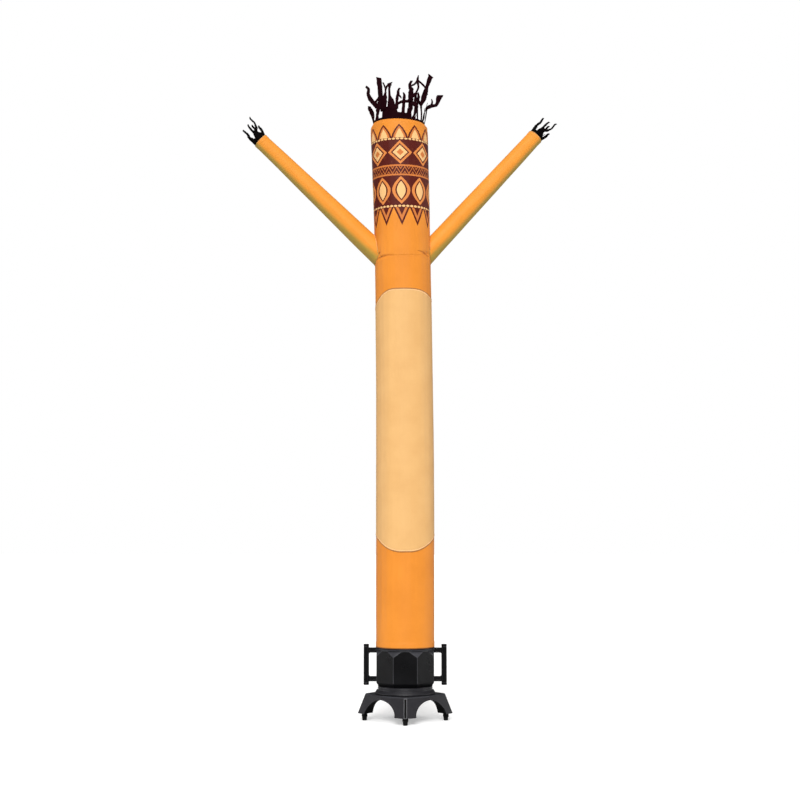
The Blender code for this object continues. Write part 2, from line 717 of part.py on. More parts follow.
def hair_fringe(root):
    rows = [level(HEAD_ROWS[-1]), rim_height]
    rows.append(lambda a: rim_height(a) + hair_band((a + 180) % 360 - 180))
    bm = shell(rows, 0.0, -FRINGE_WALL, SIDES, hair_ring_point)
    ring = finish("hair_fringe", bm, "black_cloth", root)

    def hair_root(azimuth, height):
        """Mid-wall of the ring at this height over the top edge, and the way it faces."""
        angle = math.radians(azimuth)
        place = hair_ring_point(azimuth, rim_height(azimuth) + height, -FRINGE_WALL / 2)
        return place, Vector((math.sin(angle), -math.cos(angle), 0))

    strips, frames = [], []
    for azimuth, outline in HAIR:
        origin, outward = hair_root(azimuth, outline[0][1] / 1000)
        frames.append((origin, Vector((1, 0, 0)), Vector((0, 0, 1)), Vector((0, -1, 0))))
        strips.append(front_strip(frames[-1], outward, outline))
    for index, outline in HAIR_SNIPS:
        strips.append(side_snip(frames[index], HAIR[index][1][0], outline))
    first, last, count = BACK_HAIR
    low, high = BACK_HAIR_HEIGHT
    for k in range(count):
        azimuth = first + (last - first) * k / (count - 1)
        origin, outward = hair_root(azimuth, HAIR_RING_ABOVE - 2 * STRIP_FOOT)
        length = low + (high - low) * (0.5 + 0.5 * math.sin(2.4 * k + 0.7))
        strips.append(back_strip(k, origin, Vector((0, 0, 1)), outward, length))
    join_strips(ring, strips, root)


def hand_fringe(arm, root):
    side, azimuth, elevation, axis_height, length = arm[:5]
    turn, stretch, slant = HANDS[side]
    surface = arm_surface(arm)
    _, along, _, _ = arm_frame(azimuth, elevation, axis_height)

    def ring_point(around, distance, offset):
        """The ring lines the cuff and goes on straight past it."""
        held = surface(around, min(distance, length), offset - WALL - GAP)
        return held + along * max(0.0, distance - length)

    def way(around):
        """Direction from the sleeve's axis towards this azimuth round it."""
        return (ring_point(around, length, 0.0) - ring_point(around + 180, length, 0.0)).normalized()

    rows = [level(length - HAND_RING_DEPTH), level(length), level(length + HAND_RING_OUT)]
    bm = shell(rows, 0.0, -FRINGE_WALL, ARM_SIDES, ring_point)
    ring = finish(f"hand_fringe_{side}", bm, "black_cloth", root)

    across, front = way(turn), way(turn + 90)
    outwards = (along - across * slant - front * HAND_BACKWARD) * stretch
    strips, frames = [], []
    for around, outline in HAND:
        origin = ring_point(around + turn, length + outline[0][1] / 1000, -FRINGE_WALL / 2)
        frames.append((origin, across, outwards, front))
        strips.append(front_strip(frames[-1], way(around + turn), outline))
    for index, outline in HAND_SNIPS:
        strips.append(side_snip(frames[index], HAND[index][1][0], outline))
    for k, (around, reach) in enumerate(BACK_HAND):
        origin = ring_point(around + turn, length + HAND_RING_OUT - STRIP_FOOT, -FRINGE_WALL / 2)
        strips.append(back_strip(k, origin, along, way(around + turn), reach / 1000))
    join_strips(ring, strips, root)


def main():
    clear_scene()
    root = bpy.data.objects.new("blower_axis", None)
    bpy.context.collection.objects.link(root)
    root.location = (AXIS_X, 0, 0)
    blower_base(root)
    feet(root)
    blower_neck(root)
    blower_housing(root)
    outlet_rim(root)
    handle("handle_left", -1, root)
    handle("handle_right", 1, root)
    body_tubes(root, armhole_cutters(root))
    belly_panel(root)
    sleeves(root)
    hair_fringe(root)
    for arm in ARMS:
        hand_fringe(arm, root)


main()
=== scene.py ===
"""Looks of the inflatable air dancer: a blown-up cloth figure standing on its octagonal blower.

Metres, +Z up. The figure faces -Y, and azimuths (degrees) are measured from its front towards +X.
"""
import math

import bmesh
import bpy
from mathutils import Matrix, Vector, noise


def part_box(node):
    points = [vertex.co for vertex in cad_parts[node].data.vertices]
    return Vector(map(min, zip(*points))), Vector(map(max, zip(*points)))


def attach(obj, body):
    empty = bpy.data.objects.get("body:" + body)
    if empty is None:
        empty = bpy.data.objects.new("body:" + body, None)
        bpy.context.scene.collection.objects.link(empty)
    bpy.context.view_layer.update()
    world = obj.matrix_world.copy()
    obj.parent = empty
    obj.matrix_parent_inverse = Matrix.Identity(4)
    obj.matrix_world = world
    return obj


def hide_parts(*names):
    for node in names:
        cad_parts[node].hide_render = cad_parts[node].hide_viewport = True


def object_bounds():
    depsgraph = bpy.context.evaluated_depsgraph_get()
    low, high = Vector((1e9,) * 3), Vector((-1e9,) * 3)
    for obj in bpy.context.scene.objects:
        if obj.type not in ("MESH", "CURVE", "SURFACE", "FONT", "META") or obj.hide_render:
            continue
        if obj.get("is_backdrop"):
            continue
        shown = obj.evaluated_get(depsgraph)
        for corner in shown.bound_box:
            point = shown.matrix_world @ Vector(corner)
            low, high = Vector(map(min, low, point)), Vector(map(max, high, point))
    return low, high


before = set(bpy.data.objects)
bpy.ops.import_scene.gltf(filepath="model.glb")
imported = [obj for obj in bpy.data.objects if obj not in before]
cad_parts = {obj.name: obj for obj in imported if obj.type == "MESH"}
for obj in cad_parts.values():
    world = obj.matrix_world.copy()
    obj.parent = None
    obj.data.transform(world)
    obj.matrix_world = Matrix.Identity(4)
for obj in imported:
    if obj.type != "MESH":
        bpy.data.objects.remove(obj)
cad_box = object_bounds()
housing_low, housing_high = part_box("blower_housing")
AXIS = Vector(((housing_low.x + housing_high.x) / 2, 0, 0))     # the blower's upright axis

# ---------------- camera
# A long lens in front of the figure, about 1 m over the floor. It looks straight along +Y and is
# tipped a little up, so that the whole figure stands in the frame.

LENS, SENSOR = 65.0, 36.0   # millimetres
CAMERA_PLACE = (-0.0277, -7.8, 0.989)   # from the blower's axis at the floor
CAMERA_TIP = 5.274          # degrees up

camera = bpy.data.objects.new("photo_view", bpy.data.cameras.new("photo_view"))
camera.data.lens = LENS
camera.data.sensor_width = SENSOR
camera.location = AXIS + Vector(CAMERA_PLACE)
camera.rotation_euler = (math.radians(90 + CAMERA_TIP), 0, 0)
bpy.context.collection.objects.link(camera)
bpy.context.scene.camera = camera
bpy.context.scene.view_settings.view_transform = "Standard"

# ---------------- floor and light
# A plain pale studio floor. A soft key from the front, a broad top light that keeps the floor
# white, two weak lights from the sides that draw the blower's faces, and a pale surround.

FLOOR_HALF = 60
FLOOR_LIFT = 0.40           # what the camera sees of the floor over its own light, as in a cut-out
SUNS = (                    # name, azimuth it comes from, elevation, strength, softness (degrees)
    ("key", -4, 31, 3.75, 26),
    ("top", 10, 84, 1.3, 70),
    ("left", -96, 6, 0.60, 14),
    ("right", 96, 6, 0.72, 14),
)


def linear(hexcode):
    """An sRGB hex colour turned linear, with full alpha."""
    values = [int(hexcode[i : i + 2], 16) / 255 for i in (1, 3, 5)]
    return [v / 12.92 if v <= 0.04045 else ((v + 0.055) / 1.055) ** 2.4 for v in values] + [1.0]


def nodes_in(tree):
    """Empties a node tree. Gives the function that adds a node to it and returns one output.

    Each of the node's inputs is given a value or linked to another node's output.
    """
    tree.nodes.clear()

    def add(kind, inputs=(), out=0, **settings):
        node = tree.nodes.new("ShaderNode" + kind)
        for name, value in settings.items():
            setattr(node, name, value)
        for name, value in dict(inputs).items():
            if isinstance(value, bpy.types.NodeSocket):
                tree.links.new(value, node.inputs[name])
            else:
                node.inputs[name].default_value = value
        return node.outputs[out] if node.outputs else None

    return add


def new_material(name):
    material = bpy.data.materials.new(name)
    material.use_nodes = True
    return material, nodes_in(material.node_tree)


def piece(name, bm, *materials, sharp=30, at=None):
    """The bmesh as a finished object in the scene, smooth but for its sharp edges."""
    if at:
        bmesh.ops.translate(bm, verts=bm.verts, vec=at)
    mesh = bpy.data.meshes.new(name)
    bm.to_mesh(mesh)
    bm.free()
    mesh.shade_smooth()
    mesh.set_sharp_from_angle(angle=math.radians(sharp))
    for material in materials:
        mesh.materials.append(material)
    obj = bpy.data.objects.new(name, mesh)
    bpy.context.collection.objects.link(obj)
    return obj


floor_paint, add = new_material("matt_white_floor_paint")
mottle = add("TexNoise", {"Vector": add("TexCoord", out="Object"), "Scale": 1.5, "Detail": 3.0})
tone = add("Mix", {0: mottle, 6: linear("#dad9d8"), 7: linear("#e0e0df")}, 2, data_type="RGBA")
lift = add("Math", {0: add("LightPath", out="Is Camera Ray"), 1: FLOOR_LIFT}, operation="MULTIPLY")
paint = {"Base Color": tone, "Roughness": 0.9, "Specular IOR Level": 0.0}
glow = {"Emission Color": (1.0, 1.0, 1.0, 1.0), "Emission Strength": lift}
add("OutputMaterial", {"Surface": add("BsdfPrincipled", paint | glow)})

bm = bmesh.new()
bmesh.ops.create_grid(bm, x_segments=8, y_segments=8, size=FLOOR_HALF)
piece("floor", bm, floor_paint)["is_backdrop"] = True

world = bpy.data.worlds.new("pale_surround")
bpy.context.scene.world = world
world.use_nodes = True
add = nodes_in(world.node_tree)
surround = add("Background", {"Color": (0.95, 0.97, 1.0, 1.0), "Strength": 0.12})
paper = add("Background", {"Color": (1.0, 1.0, 1.0, 1.0), "Strength": 1.0})
seen = add("LightPath", out="Is Camera Ray")
add("OutputWorld", {"Surface": add("MixShader", {0: seen, 1: surround, 2: paper})})

for name, azimuth, elevation, strength, softness in SUNS:
    light = bpy.data.lights.new(name, "SUN")
    light.energy = strength
    light.angle = math.radians(softness)
    lamp = bpy.data.objects.new(name, light)
    a, e = math.radians(azimuth), math.radians(elevation)
    source = Vector((math.sin(a) * math.cos(e), -math.cos(a) * math.cos(e), math.sin(e)))
    lamp.rotation_euler = source.to_track_quat("Z", "Y").to_euler()
    bpy.context.collection.objects.link(lamp)

# ---------------- blower base
# The blower stands on one skirt of moulded ABS: four legs with a flat ridge each, and an arch
# between every two for the air. Injection moulded, so its edges are rounded and its skin grained.

LEG_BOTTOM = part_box("blower_base")[0].z
DECK_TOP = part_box("blower_base")[1].z
DECK_THICK = 0.0135
DECK_ROUNDING = 0.006
RIDGE_BOTTOM, RIDGE_TOP = 0.252, 0.211      # the ridge's distance from the axis, at its two ends
RIDGE_FLAT = 0.017
RIDGE_RIB, RIDGE_WALL, RIDGE_GROOVE = 0.0042, 0.0012, 0.003     # width of rib and of wall, depth
CREASE_SHARE = 0.85         # distance of the creases between the legs, as a share of the ridge's
ARCH_HALF_WIDTH, ARCH_HEIGHT, ARCH_STEPS = 0.113, 0.082, 28
ARCH_POWER = 1.12           # 1 would be a plain half ellipse
CAVITY_RADII = (0.178, 0.155)
AIR_RADIUS = 0.135
SHARP = 40                  # faces that meet at less than this many degrees look like one


def turn_z(degrees):
    return Matrix.Rotation(math.radians(degrees), 3, "Z")


def keep_flats(mesh, sharp):
    """Weighs each corner's normal by its faces' areas, so a flat stays flat beside its roundings."""
    limit = math.cos(math.radians(sharp))
    around = [[] for _ in mesh.vertices]
    for face in mesh.polygons:
        for v in face.vertices:
            around[v].append(face)
    normals = []
    for face in mesh.polygons:
        for v in face.vertices:
            near = (f.normal * f.area for f in around[v] if f.normal.dot(face.normal) > limit)
            normals.append(sum(near, Vector()).normalized())
    mesh.normals_split_custom_set(normals)


def cut_and_rounded(name, bm, cutters, materials, rounding, union=()):
    """The body with its cutters taken out, other shapes joined on, and all sharp edges rounded.

    The roundings take the second material, a paler copy of the first: a painted highlight on the edges.
    """
    bmesh.ops.recalc_face_normals(bm, faces=bm.faces)
    body = piece(f"{name}_raw", bm, *materials)
    helpers = []
    for operation, shapes in (("UNION", union), ("DIFFERENCE", cutters)):
        for shape in shapes:
            bmesh.ops.recalc_face_normals(shape, faces=shape.faces)
            helpers.append(piece(f"{name}_helper", shape))
            made = body.modifiers.new("cut", "BOOLEAN")
            made.operation = operation
            made.solver = "EXACT"
            made.object = helpers[-1]
    edge = body.modifiers.new("rounding", "BEVEL")
    edge.width = rounding
    edge.segments = 2
    edge.angle_limit = math.radians(28)
    edge.use_clamp_overlap = True
    edge.material = 1
    bpy.context.view_layer.update()
    graph = bpy.context.evaluated_depsgraph_get()
    bm = bmesh.new()
    bm.from_mesh(body.evaluated_get(graph).to_mesh())
    for obj in helpers + [body]:
        bpy.data.objects.remove(obj, do_unlink=True)
    bmesh.ops.remove_doubles(bm, verts=bm.verts, dist=1e-6)
    bmesh.ops.dissolve_degenerate(bm, edges=bm.edges, dist=1e-6)
    obj = piece(name, bm, *materials, sharp=SHARP, at=AXIS)
    keep_flats(obj.data, SHARP)
    return obj


def bevel(bm, edges, offset, segments, material=-1):
    bmesh.ops.bevel(
        bm, geom=edges, offset=offset, segments=segments, profile=0.5, affect="EDGES", material=material
    )


def ring_of(bm, points):
    """A closed loop of edges through these points."""
    verts = [bm.verts.new(p) for p in points]
    return [bm.edges.new((verts[i - 1], verts[i])) for i in range(len(verts))]


def skirt_outline(ridge, height):
    crease = ridge * CREASE_SHARE * math.sqrt(0.5)
    corner = ((-RIDGE_FLAT / 2, -ridge), (RIDGE_FLAT / 2, -ridge), (crease, -crease))
    return [turn_z(90 * leg) @ Vector((x, y, height)) for leg in range(4) for x, y in corner]


def cone(low_radius, high_radius, low, high, segments=96):
    bm = bmesh.new()
    bmesh.ops.create_cone(
        bm, cap_ends=True, segments=segments, radius1=low_radius, radius2=high_radius, depth=high - low
    )
    bmesh.ops.translate(bm, verts=bm.verts, vec=(0, 0, (low + high) / 2))
    return bm


def arch_cutter(degrees):
    """A long bar of the arch's shape across the skirt's diagonal."""
    bm = bmesh.new()
    outline = [Vector((ARCH_HALF_WIDTH, -0.5, 0.0))]
    for k in range(ARCH_STEPS + 1):
        angle = math.pi * k / ARCH_STEPS
        side = math.copysign(abs(math.cos(angle)) ** ARCH_POWER, math.cos(angle)) * ARCH_HALF_WIDTH
        outline.append(Vector((side, -0.5, LEG_BOTTOM + math.sin(angle) ** ARCH_POWER * ARCH_HEIGHT)))
    outline.append(Vector((-ARCH_HALF_WIDTH, -0.5, 0.0)))
    face = bm.faces.new([bm.verts.new(p) for p in outline])
    far = bmesh.ops.extrude_face_region(bm, geom=[face])["geom"]
    bmesh.ops.translate(bm, verts=[v for v in far if isinstance(v, bmesh.types.BMVert)], vec=(0, 1, 0))
    bmesh.ops.rotate(bm, verts=bm.verts, matrix=turn_z(degrees))
    return bm


def moulded_plastic(name, dark, pale, grain_mm, roughness, specular):
    """Moulded black plastic: a fine leathery grain, faint rub marks, and edges painted paler as a highlight.
    """
    material, add = new_material(name)
    place = add("TexCoord", out="Object")
    rub = add("TexNoise", {"Vector": place, "Scale": 9.0, "Detail": 5.0, "Roughness": 0.62})
    # Where the mesh is pointy, on its edges, the colour is painted paler: a painted highlight.
    worn = add("NewGeometry", out="Pointiness")
    edge = add("MapRange", {"Value": worn, "From Min": 0.515, "From Max": 0.60, "To Max": 0.5})
    share = add("MapRange", {"Value": rub, "From Min": 0.42, "From Max": 0.72, "To Max": 0.55})
    both = add("Math", {0: share, 1: edge}, operation="MAXIMUM")
    tone = add("Mix", {0: both, 6: linear(dark), 7: linear(pale)}, 2, data_type="RGBA")
    grain = {"Vector": place, "Scale": 1000 / grain_mm, "Randomness": 1.0}
    grain = add("TexVoronoi", grain, feature="SMOOTH_F1")
    bump = add("Bump", {"Height": grain, "Strength": 0.25, "Distance": 0.0004})
    span = {"From Min": 0.3, "From Max": 0.7, "To Min": roughness - 0.06, "To Max": roughness + 0.08}
    gloss = add("MapRange", {"Value": rub} | span)
    skin = {"Base Color": tone, "Roughness": gloss, "Normal": bump, "Specular IOR Level": specular}
    add("OutputMaterial", {"Surface": add("BsdfPrincipled", skin)})
    return material


# Injection-moulded ABS. The mould's grain, about 1.5 mm, breaks up the highlights.
abs_black = moulded_plastic("moulded_black_abs", "#050506", "#0e0e11", 1.5, 0.30, 0.09)
# The second, paler black is a painted highlight for rounded edges and upward chamfers.
abs_dull_edge = moulded_plastic("moulded_black_abs_worn_edge", "#29292d", "#3f3f44", 1.5, 0.38, 0.30)
ABS = (abs_black, abs_dull_edge)
# The skirt and neck come from a second mould with a coarser grain, which looks greyer. Their edges and ribs
# are painted pale as a highlight, and inside, where shade falls, they are painted a deeper black as shade.
abs_charcoal = moulded_plastic("moulded_charcoal_abs", "#1c1b1e", "#2a292c", 2.0, 0.46, 0.20)
abs_edge = moulded_plastic("moulded_charcoal_abs_rubbed_edge", "#26262a", "#3a3a3e", 2.0, 0.42, 0.28)
abs_inside = moulded_plastic("moulded_black_abs_inside", "#040404", "#070708", 2.0, 0.60, 0.05)
SKIRT_ABS = (abs_charcoal, abs_edge, abs_inside)

bm = bmesh.new()
ring_of(bm, skirt_outline(RIDGE_BOTTOM, LEG_BOTTOM))
ring_of(bm, skirt_outline(RIDGE_TOP, DECK_TOP))
sides = bmesh.ops.bridge_loops(bm, edges=bm.edges)["faces"]
bmesh.ops.holes_fill(bm, edges=bm.edges)
bmesh.ops.recalc_face_normals(bm, faces=bm.faces)
flats = sorted(sides, key=lambda f: f.calc_area())[:4]
upright = [e for e in bm.edges if abs(e.verts[0].co.z - e.verts[1].co.z) > 0.05]
creases = [e for e in upright if not any(f in flats for f in e.link_faces)]
deck_edges = [e for e in bm.edges if all(v.co.z > DECK_TOP - 0.001 for v in e.verts)]
bevel(bm, creases + deck_edges, DECK_ROUNDING, 4)
# The deck's rounded top edge takes the pale material: a painted highlight.
for face in bm.faces:
    if face.calc_center_median().z > DECK_TOP - DECK_ROUNDING + 0.0002 and face.normal.z < 0.95:
        face.material_index = 1
# Each ridge is a groove between two raised ribs. The ribs are painted pale as a highlight, and the groove's
# floor dark as shade.
flats = [f for f in bm.faces if f.calc_area() > 0.0008 and f.normal.z < 0.51]
flats = [f for f in flats if abs(f.normal.x * f.normal.y) < 0.01]
bmesh.ops.inset_individual(bm, faces=flats, thickness=RIDGE_RIB, depth=0.0)
for face in {f for flat in flats for e in flat.edges for f in e.link_faces} - set(flats):
    face.material_index = 1
bmesh.ops.inset_individual(bm, faces=flats, thickness=RIDGE_WALL, depth=-RIDGE_GROOVE)
# The groove floors take the darkest black: painted shade.
for face in flats:
    face.material_index = 2
ceiling = DECK_TOP - DECK_THICK
cavity = cone(*CAVITY_RADII, LEG_BOTTOM - 0.02, ceiling)
air_way = cone(AIR_RADIUS, AIR_RADIUS, ceiling - 0.02, DECK_TOP + 0.02)
cutters = [cavity, air_way, arch_cutter(45), arch_cutter(-45)]
base = cut_and_rounded("blower_skirt", bm, cutters, SKIRT_ABS, 0.0020)
# Faces that don't look outward, in the arches and the cavity, take the darkest black: painted shade.
for face in base.data.polygons:
    facing, out = face.normal.xy, (face.center - AXIS).xy.normalized()
    outside = facing.length > 0.3 and facing.normalized().dot(out) > 0.86
    if not outside and face.normal.z < 0.7:
        face.material_index = 2
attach(base, "root")
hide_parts("blower_base")

# ---------------- feet
# Four black stubs, moulded in nitrile rubber and pushed up into the leg ends. Each has a ribbed
# collar and tapers to a worn pad on the floor.

FOOT_CIRCLE = 0.216


def lathe(profile, segments):
    """A closed solid turned round the Z axis from (radius, height) points that form a loop."""
    bm = bmesh.new()
    edges = ring_of(bm, [Vector((r, 0, z)) for r, z in profile])
    geom = list(bm.verts) + edges
    bmesh.ops.spin(
        bm, geom=geom, cent=(0, 0, 0), axis=(0, 0, 1), angle=2 * math.pi, steps=segments, use_merge=True
    )
    bmesh.ops.remove_doubles(bm, verts=bm.verts, dist=1e-5)
    bmesh.ops.recalc_face_normals(bm, faces=bm.faces)
    return bm


def rounded(bm, offset, limit=30, material=-1):
    """Bevels every edge whose faces meet more sharply than the limit."""
    edges = [e for e in bm.edges if len(e.link_faces) == 2]
    bevel(bm, [e for e in edges if e.calc_face_angle() > math.radians(limit)], offset, 2, material)
    return bm


# Moulded nitrile rubber: dull, a little dusty in patches, with edges painted paler as a highlight and a
# pebbled 2 mm grain.
rubber = moulded_plastic("moulded_black_rubber", "#060606", "#121110", 2.0, 0.72, 0.15)

foot_low, foot_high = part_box("foot_front")
r = (foot_high.x - foot_low.x) / 2
FOOT = ((0.0, foot_high.z), (r, foot_high.z), (r, 0.0335), (r - 0.0012, 0.0325), (r - 0.0012, 0.0310),
        (r, 0.0300), (r, 0.0215), (r - 0.0025, 0.0180), (0.0120, 0.0030), (0.0105, 0.0), (0.0, 0.0))
for leg, name in enumerate(("front", "right", "back", "left")):
    place = AXIS + turn_z(90 * leg) @ Vector((0, -FOOT_CIRCLE, 0))
    foot = piece(f"rubber_foot_{name}", rounded(lathe(FOOT, 48), 0.0006), rubber, at=place)
    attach(foot, "root")
    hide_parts(f"foot_{name}")

# ---------------- neck
# A stepped round ring that lifts the housing off the skirt's deck. It is moulded in the skirt's
# ABS and screwed on from below.

NECK = (                    # radius, height
    (AIR_RADIUS, 0.1418), (0.1550, 0.1418), (0.1550, 0.1450), (0.1605, 0.1458), (0.1600, 0.1485),
    (0.1535, 0.1580), (0.1510, 0.1618), (0.1440, 0.1626), (0.1440, 0.1700), (0.1462, 0.1708),
    (0.1462, 0.1738), (0.1440, 0.1746), (0.1440, 0.1800), (0.1465, 0.1806), (0.1465, 0.1817),
    (AIR_RADIUS, 0.1817),
)
# The rounded step edges take the pale material: a painted highlight.
neck = piece("blower_neck_ring", rounded(lathe(NECK, 128), 0.0008, 20, 1), *SKIRT_ABS, at=AXIS)
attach(neck, "root")
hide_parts("blower_neck")

# ---------------- housing
# The fan's housing, an octagon moulded in ABS. Its corners are cut off in triangles at the top,
# where it turns into the round outlet, and its bottom edge is chamfered. Its faces are bare.

HOUSING_BOTTOM, HOUSING_TOP = housing_low.z, housing_high.z
HOUSING_FLAT = (housing_high.x - housing_low.x) / 2
CORNER = HOUSING_FLAT / math.cos(math.pi / 8)
CHAMFER_ALONG, CHAMFER_DOWN = 0.043, 0.030  # cut along the flat and down the corner
FOOT_CUT_IN, FOOT_CUT_UP = 0.015, 0.021     # the chamfer round the bottom
BORE_RADIUS, INLET_RADIUS = 0.142, 0.100


def chamfer(bm, azimuth, inner, apex):
    """Cuts off the edge at this azimuth, outside the plane through two (radius, height) places."""
    side = turn_z(azimuth) @ Vector((0, -1, 0))
    inner, apex = (side * radius + Vector((0, 0, height)) for radius, height in (inner, apex))
    normal = (apex - inner).cross(Vector((0, 0, 1)).cross(side)).normalized()
    if normal.dot(apex.xy.to_3d()) < 0:
        normal.negate()
    geom = list(bm.verts) + list(bm.edges) + list(bm.faces)
    bmesh.ops.bisect_plane(bm, geom=geom, dist=1e-7, plane_co=inner, plane_no=normal, clear_outer=True)
    bmesh.ops.holes_fill(bm, edges=[e for e in bm.edges if e.is_boundary])


bm = cone(CORNER, CORNER, HOUSING_BOTTOM, HOUSING_TOP, 8)
bmesh.ops.rotate(bm, verts=bm.verts, matrix=turn_z(22.5))
for k in range(8):
    inner, apex = (HOUSING_FLAT - FOOT_CUT_IN, HOUSING_BOTTOM), (HOUSING_FLAT, HOUSING_BOTTOM + FOOT_CUT_UP)
    chamfer(bm, 45 * k, inner, apex)
for k in range(8):
    inner = CORNER - CHAMFER_ALONG * math.sin(math.pi / 8), HOUSING_TOP
    chamfer(bm, 22.5 + 45 * k, inner, (CORNER, HOUSING_TOP - CHAMFER_DOWN))
inside = cone(BORE_RADIUS, BORE_RADIUS, HOUSING_BOTTOM + 0.010, HOUSING_TOP + 0.02)
inlet = cone(INLET_RADIUS, INLET_RADIUS, HOUSING_BOTTOM - 0.02, HOUSING_BOTTOM + 0.03)
housing = cut_and_rounded("blower_octagon", bm, [inside, inlet], ABS, 0.0016)
# Faces that slope up, such as the corner triangles, take the paler material: painted light from above. The
# bottom chamfer keeps the plain black.
for face in housing.data.polygons:
    if face.center.z < HOUSING_BOTTOM + FOOT_CUT_UP + 0.003:
        face.material_index = 0
    elif 0.3 < face.normal.z < 0.7:
        face.material_index = 1
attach(housing, "root")
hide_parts("blower_housing")

# ---------------- outlet rim
# A thin ABS flange, moulded on its own and screwed down, closes the housing's top. Its collar
# stands up inside the cloth and carries the hem.

RIM_TOP, RIM_RADIUS = 0.3847, 0.157
COLLAR_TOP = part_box("outlet_rim")[1].z
RIM = (                     # radius, height
    (BORE_RADIUS, 0.3713), (0.1555, 0.3713), (RIM_RADIUS, 0.3728), (RIM_RADIUS, 0.3758),
    (0.1562, 0.3764), (0.1562, 0.3774), (RIM_RADIUS, 0.3780), (RIM_RADIUS, RIM_TOP - 0.0015),
    (0.1555, RIM_TOP), (0.1533, RIM_TOP), (0.1533, COLLAR_TOP - 0.002), (0.1513, COLLAR_TOP),
    (0.1493, COLLAR_TOP), (0.1493, RIM_TOP), (BORE_RADIUS, 0.377),
)
# Its rounded edges take the paler material: a painted highlight.
rim = piece("outlet_flange", rounded(lathe(RIM, 128), 0.0005, material=1), *ABS, at=AXIS)
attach(rim, "root")
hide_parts("outlet_rim")

# ---------------- handles
# One each side: a round grip bar with a cap line near both ends, on two arms with a recess along
# them. Moulded in ABS in one piece and screwed to the housing's side face.

GRIP_RADIUS, GRIP_X = 0.0145, 0.2075
GRIP_LOW, GRIP_HIGH = 0.186, 0.401
GRIP_END = (                # the bar's end and cap line: in from its radius, and along from its end
    (GRIP_RADIUS, 0.0), (0.003, 0.0), (0.0008, 0.001), (0.0, 0.003), (0.0, 0.011), (0.0012, 0.0118),
    (0.0012, 0.0132), (0.0002, 0.014),
)
ARM_LOW, ARM_HIGH, ARM_THICK, ARM_DEPTH = 0.205, 0.382, 0.026, 0.024
RECESS_HALF = 0.006
RIM_ROOM = RIM_RADIUS + 0.0003          # the arms are cut away round the outlet rim


def bar_of(x, z, depth, corner=0.0, y=0.0):
    """A box between two x and two z, as deep as given in Y. Its edges along Y can be rounded."""
    bm = bmesh.new()
    bmesh.ops.create_cube(bm, size=1.0)
    x, z = sorted(x), sorted(z)
    bmesh.ops.scale(bm, verts=bm.verts, vec=(x[1] - x[0], depth, z[1] - z[0]))
    bmesh.ops.translate(bm, verts=bm.verts, vec=((x[1] + x[0]) / 2, 0, (z[1] + z[0]) / 2))
    if corner:
        bevel(bm, [e for e in bm.edges if abs(e.verts[0].co.y - e.verts[1].co.y) > depth / 2], corner, 6)
    bmesh.ops.translate(bm, verts=bm.verts, vec=(0, y, 0))
    return bm


for name, side in (("left", -1), ("right", 1)):
    web = side * GRIP_X
    bm = bar_of((side * (HOUSING_FLAT + 0.0003), web), (ARM_LOW, ARM_HIGH), ARM_DEPTH)
    gap = (side * (HOUSING_FLAT - 0.02), side * (GRIP_X - GRIP_RADIUS))
    cutters = [bar_of(gap, (ARM_LOW + ARM_THICK, ARM_HIGH - ARM_THICK), 0.06, 0.008)]
    ends = (side * (HOUSING_FLAT + 0.006), side * (GRIP_X - GRIP_RADIUS - 0.004))
    for middle in (ARM_LOW + ARM_THICK / 2, ARM_HIGH - ARM_THICK / 2):
        for face in (-1, 1):
            y = face * (ARM_DEPTH / 2 + 0.0012)
            cutters.append(bar_of(ends, (middle - RECESS_HALF, middle + RECESS_HALF), 0.006, 0.003, y))
    profile = [(GRIP_RADIUS - cut, GRIP_HIGH - down) for cut, down in GRIP_END]
    profile += [(GRIP_RADIUS - cut, GRIP_LOW + up) for cut, up in reversed(GRIP_END)]
    grip = lathe(profile, 48)
    bmesh.ops.translate(grip, verts=grip.verts, vec=(web, 0, 0))
    cutters.append(cone(RIM_ROOM, RIM_ROOM, HOUSING_TOP - 0.0003, GRIP_HIGH + 0.01, 128))
    handle = cut_and_rounded(f"grip_{name}", bm, cutters, ABS, 0.0014, union=[grip])
    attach(handle, "root")
    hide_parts(f"handle_{name}")

# ---------------- lower tube
# The lower body is one cloth of coated ripstop nylon, cut flat and sewn shut down the back.
# Its folded hem slips over the outlet collar, and the air stands it up from there.

GAP = 0.0003                # between two layers of cloth
WALL = 0.0012               # thickness of coated ripstop with its seams
HEM_Z, HEM_WIDE = 0.3850, 0.030
SEAM_Z, SEAM_RISE = 2.478, 0.012        # chest seam, which runs higher at the sides
SEAM_FOLD = (0.009, 0.0002)             # width and height of the folded edge beside it
FOLD_STEP = 0.004           # length of the slope at a folded edge's end
CLOTH_SHARP = 70            # cloth bends up to this many degrees without a hard edge
RIM_Z, RIM_DROP = 3.228, 0.003          # open top edge, tipped a little towards +X
LEAN, LEAN_POWER = 0.034, 3.3           # the figure's top stands this far over to -X
BODY_RADII = (              # height, outer radius
    (HEM_Z, 0.1550), (1.30, 0.1545), (1.85, 0.1525), (2.55, 0.1525), (2.95, 0.1560), (3.17, 0.1578),
    (3.205, 0.1560), (RIM_Z, 0.1430),
)
# Armpit creases: azimuth, height, rise per degree, depth, half length (degrees), half width.
TUCKS = (
    (-66, 2.490, 0.0, 0.0050, 13, 0.014),
    (-62, 2.520, 0.0, 0.0030, 9, 0.010),
    (64, 2.498, 0.0, 0.0045, 12, 0.014),
    (70, 2.525, 0.0, 0.0030, 9, 0.010),
    (-44, 2.474, 0.00030, 0.0075, 15, 0.0060),
    (-60, 2.500, 0.00110, 0.0070, 5, 0.0055),
    (50, 2.496, -0.00030, 0.0065, 12, 0.0060),
    (66, 2.504, -0.00080, 0.0060, 6, 0.0055),
)
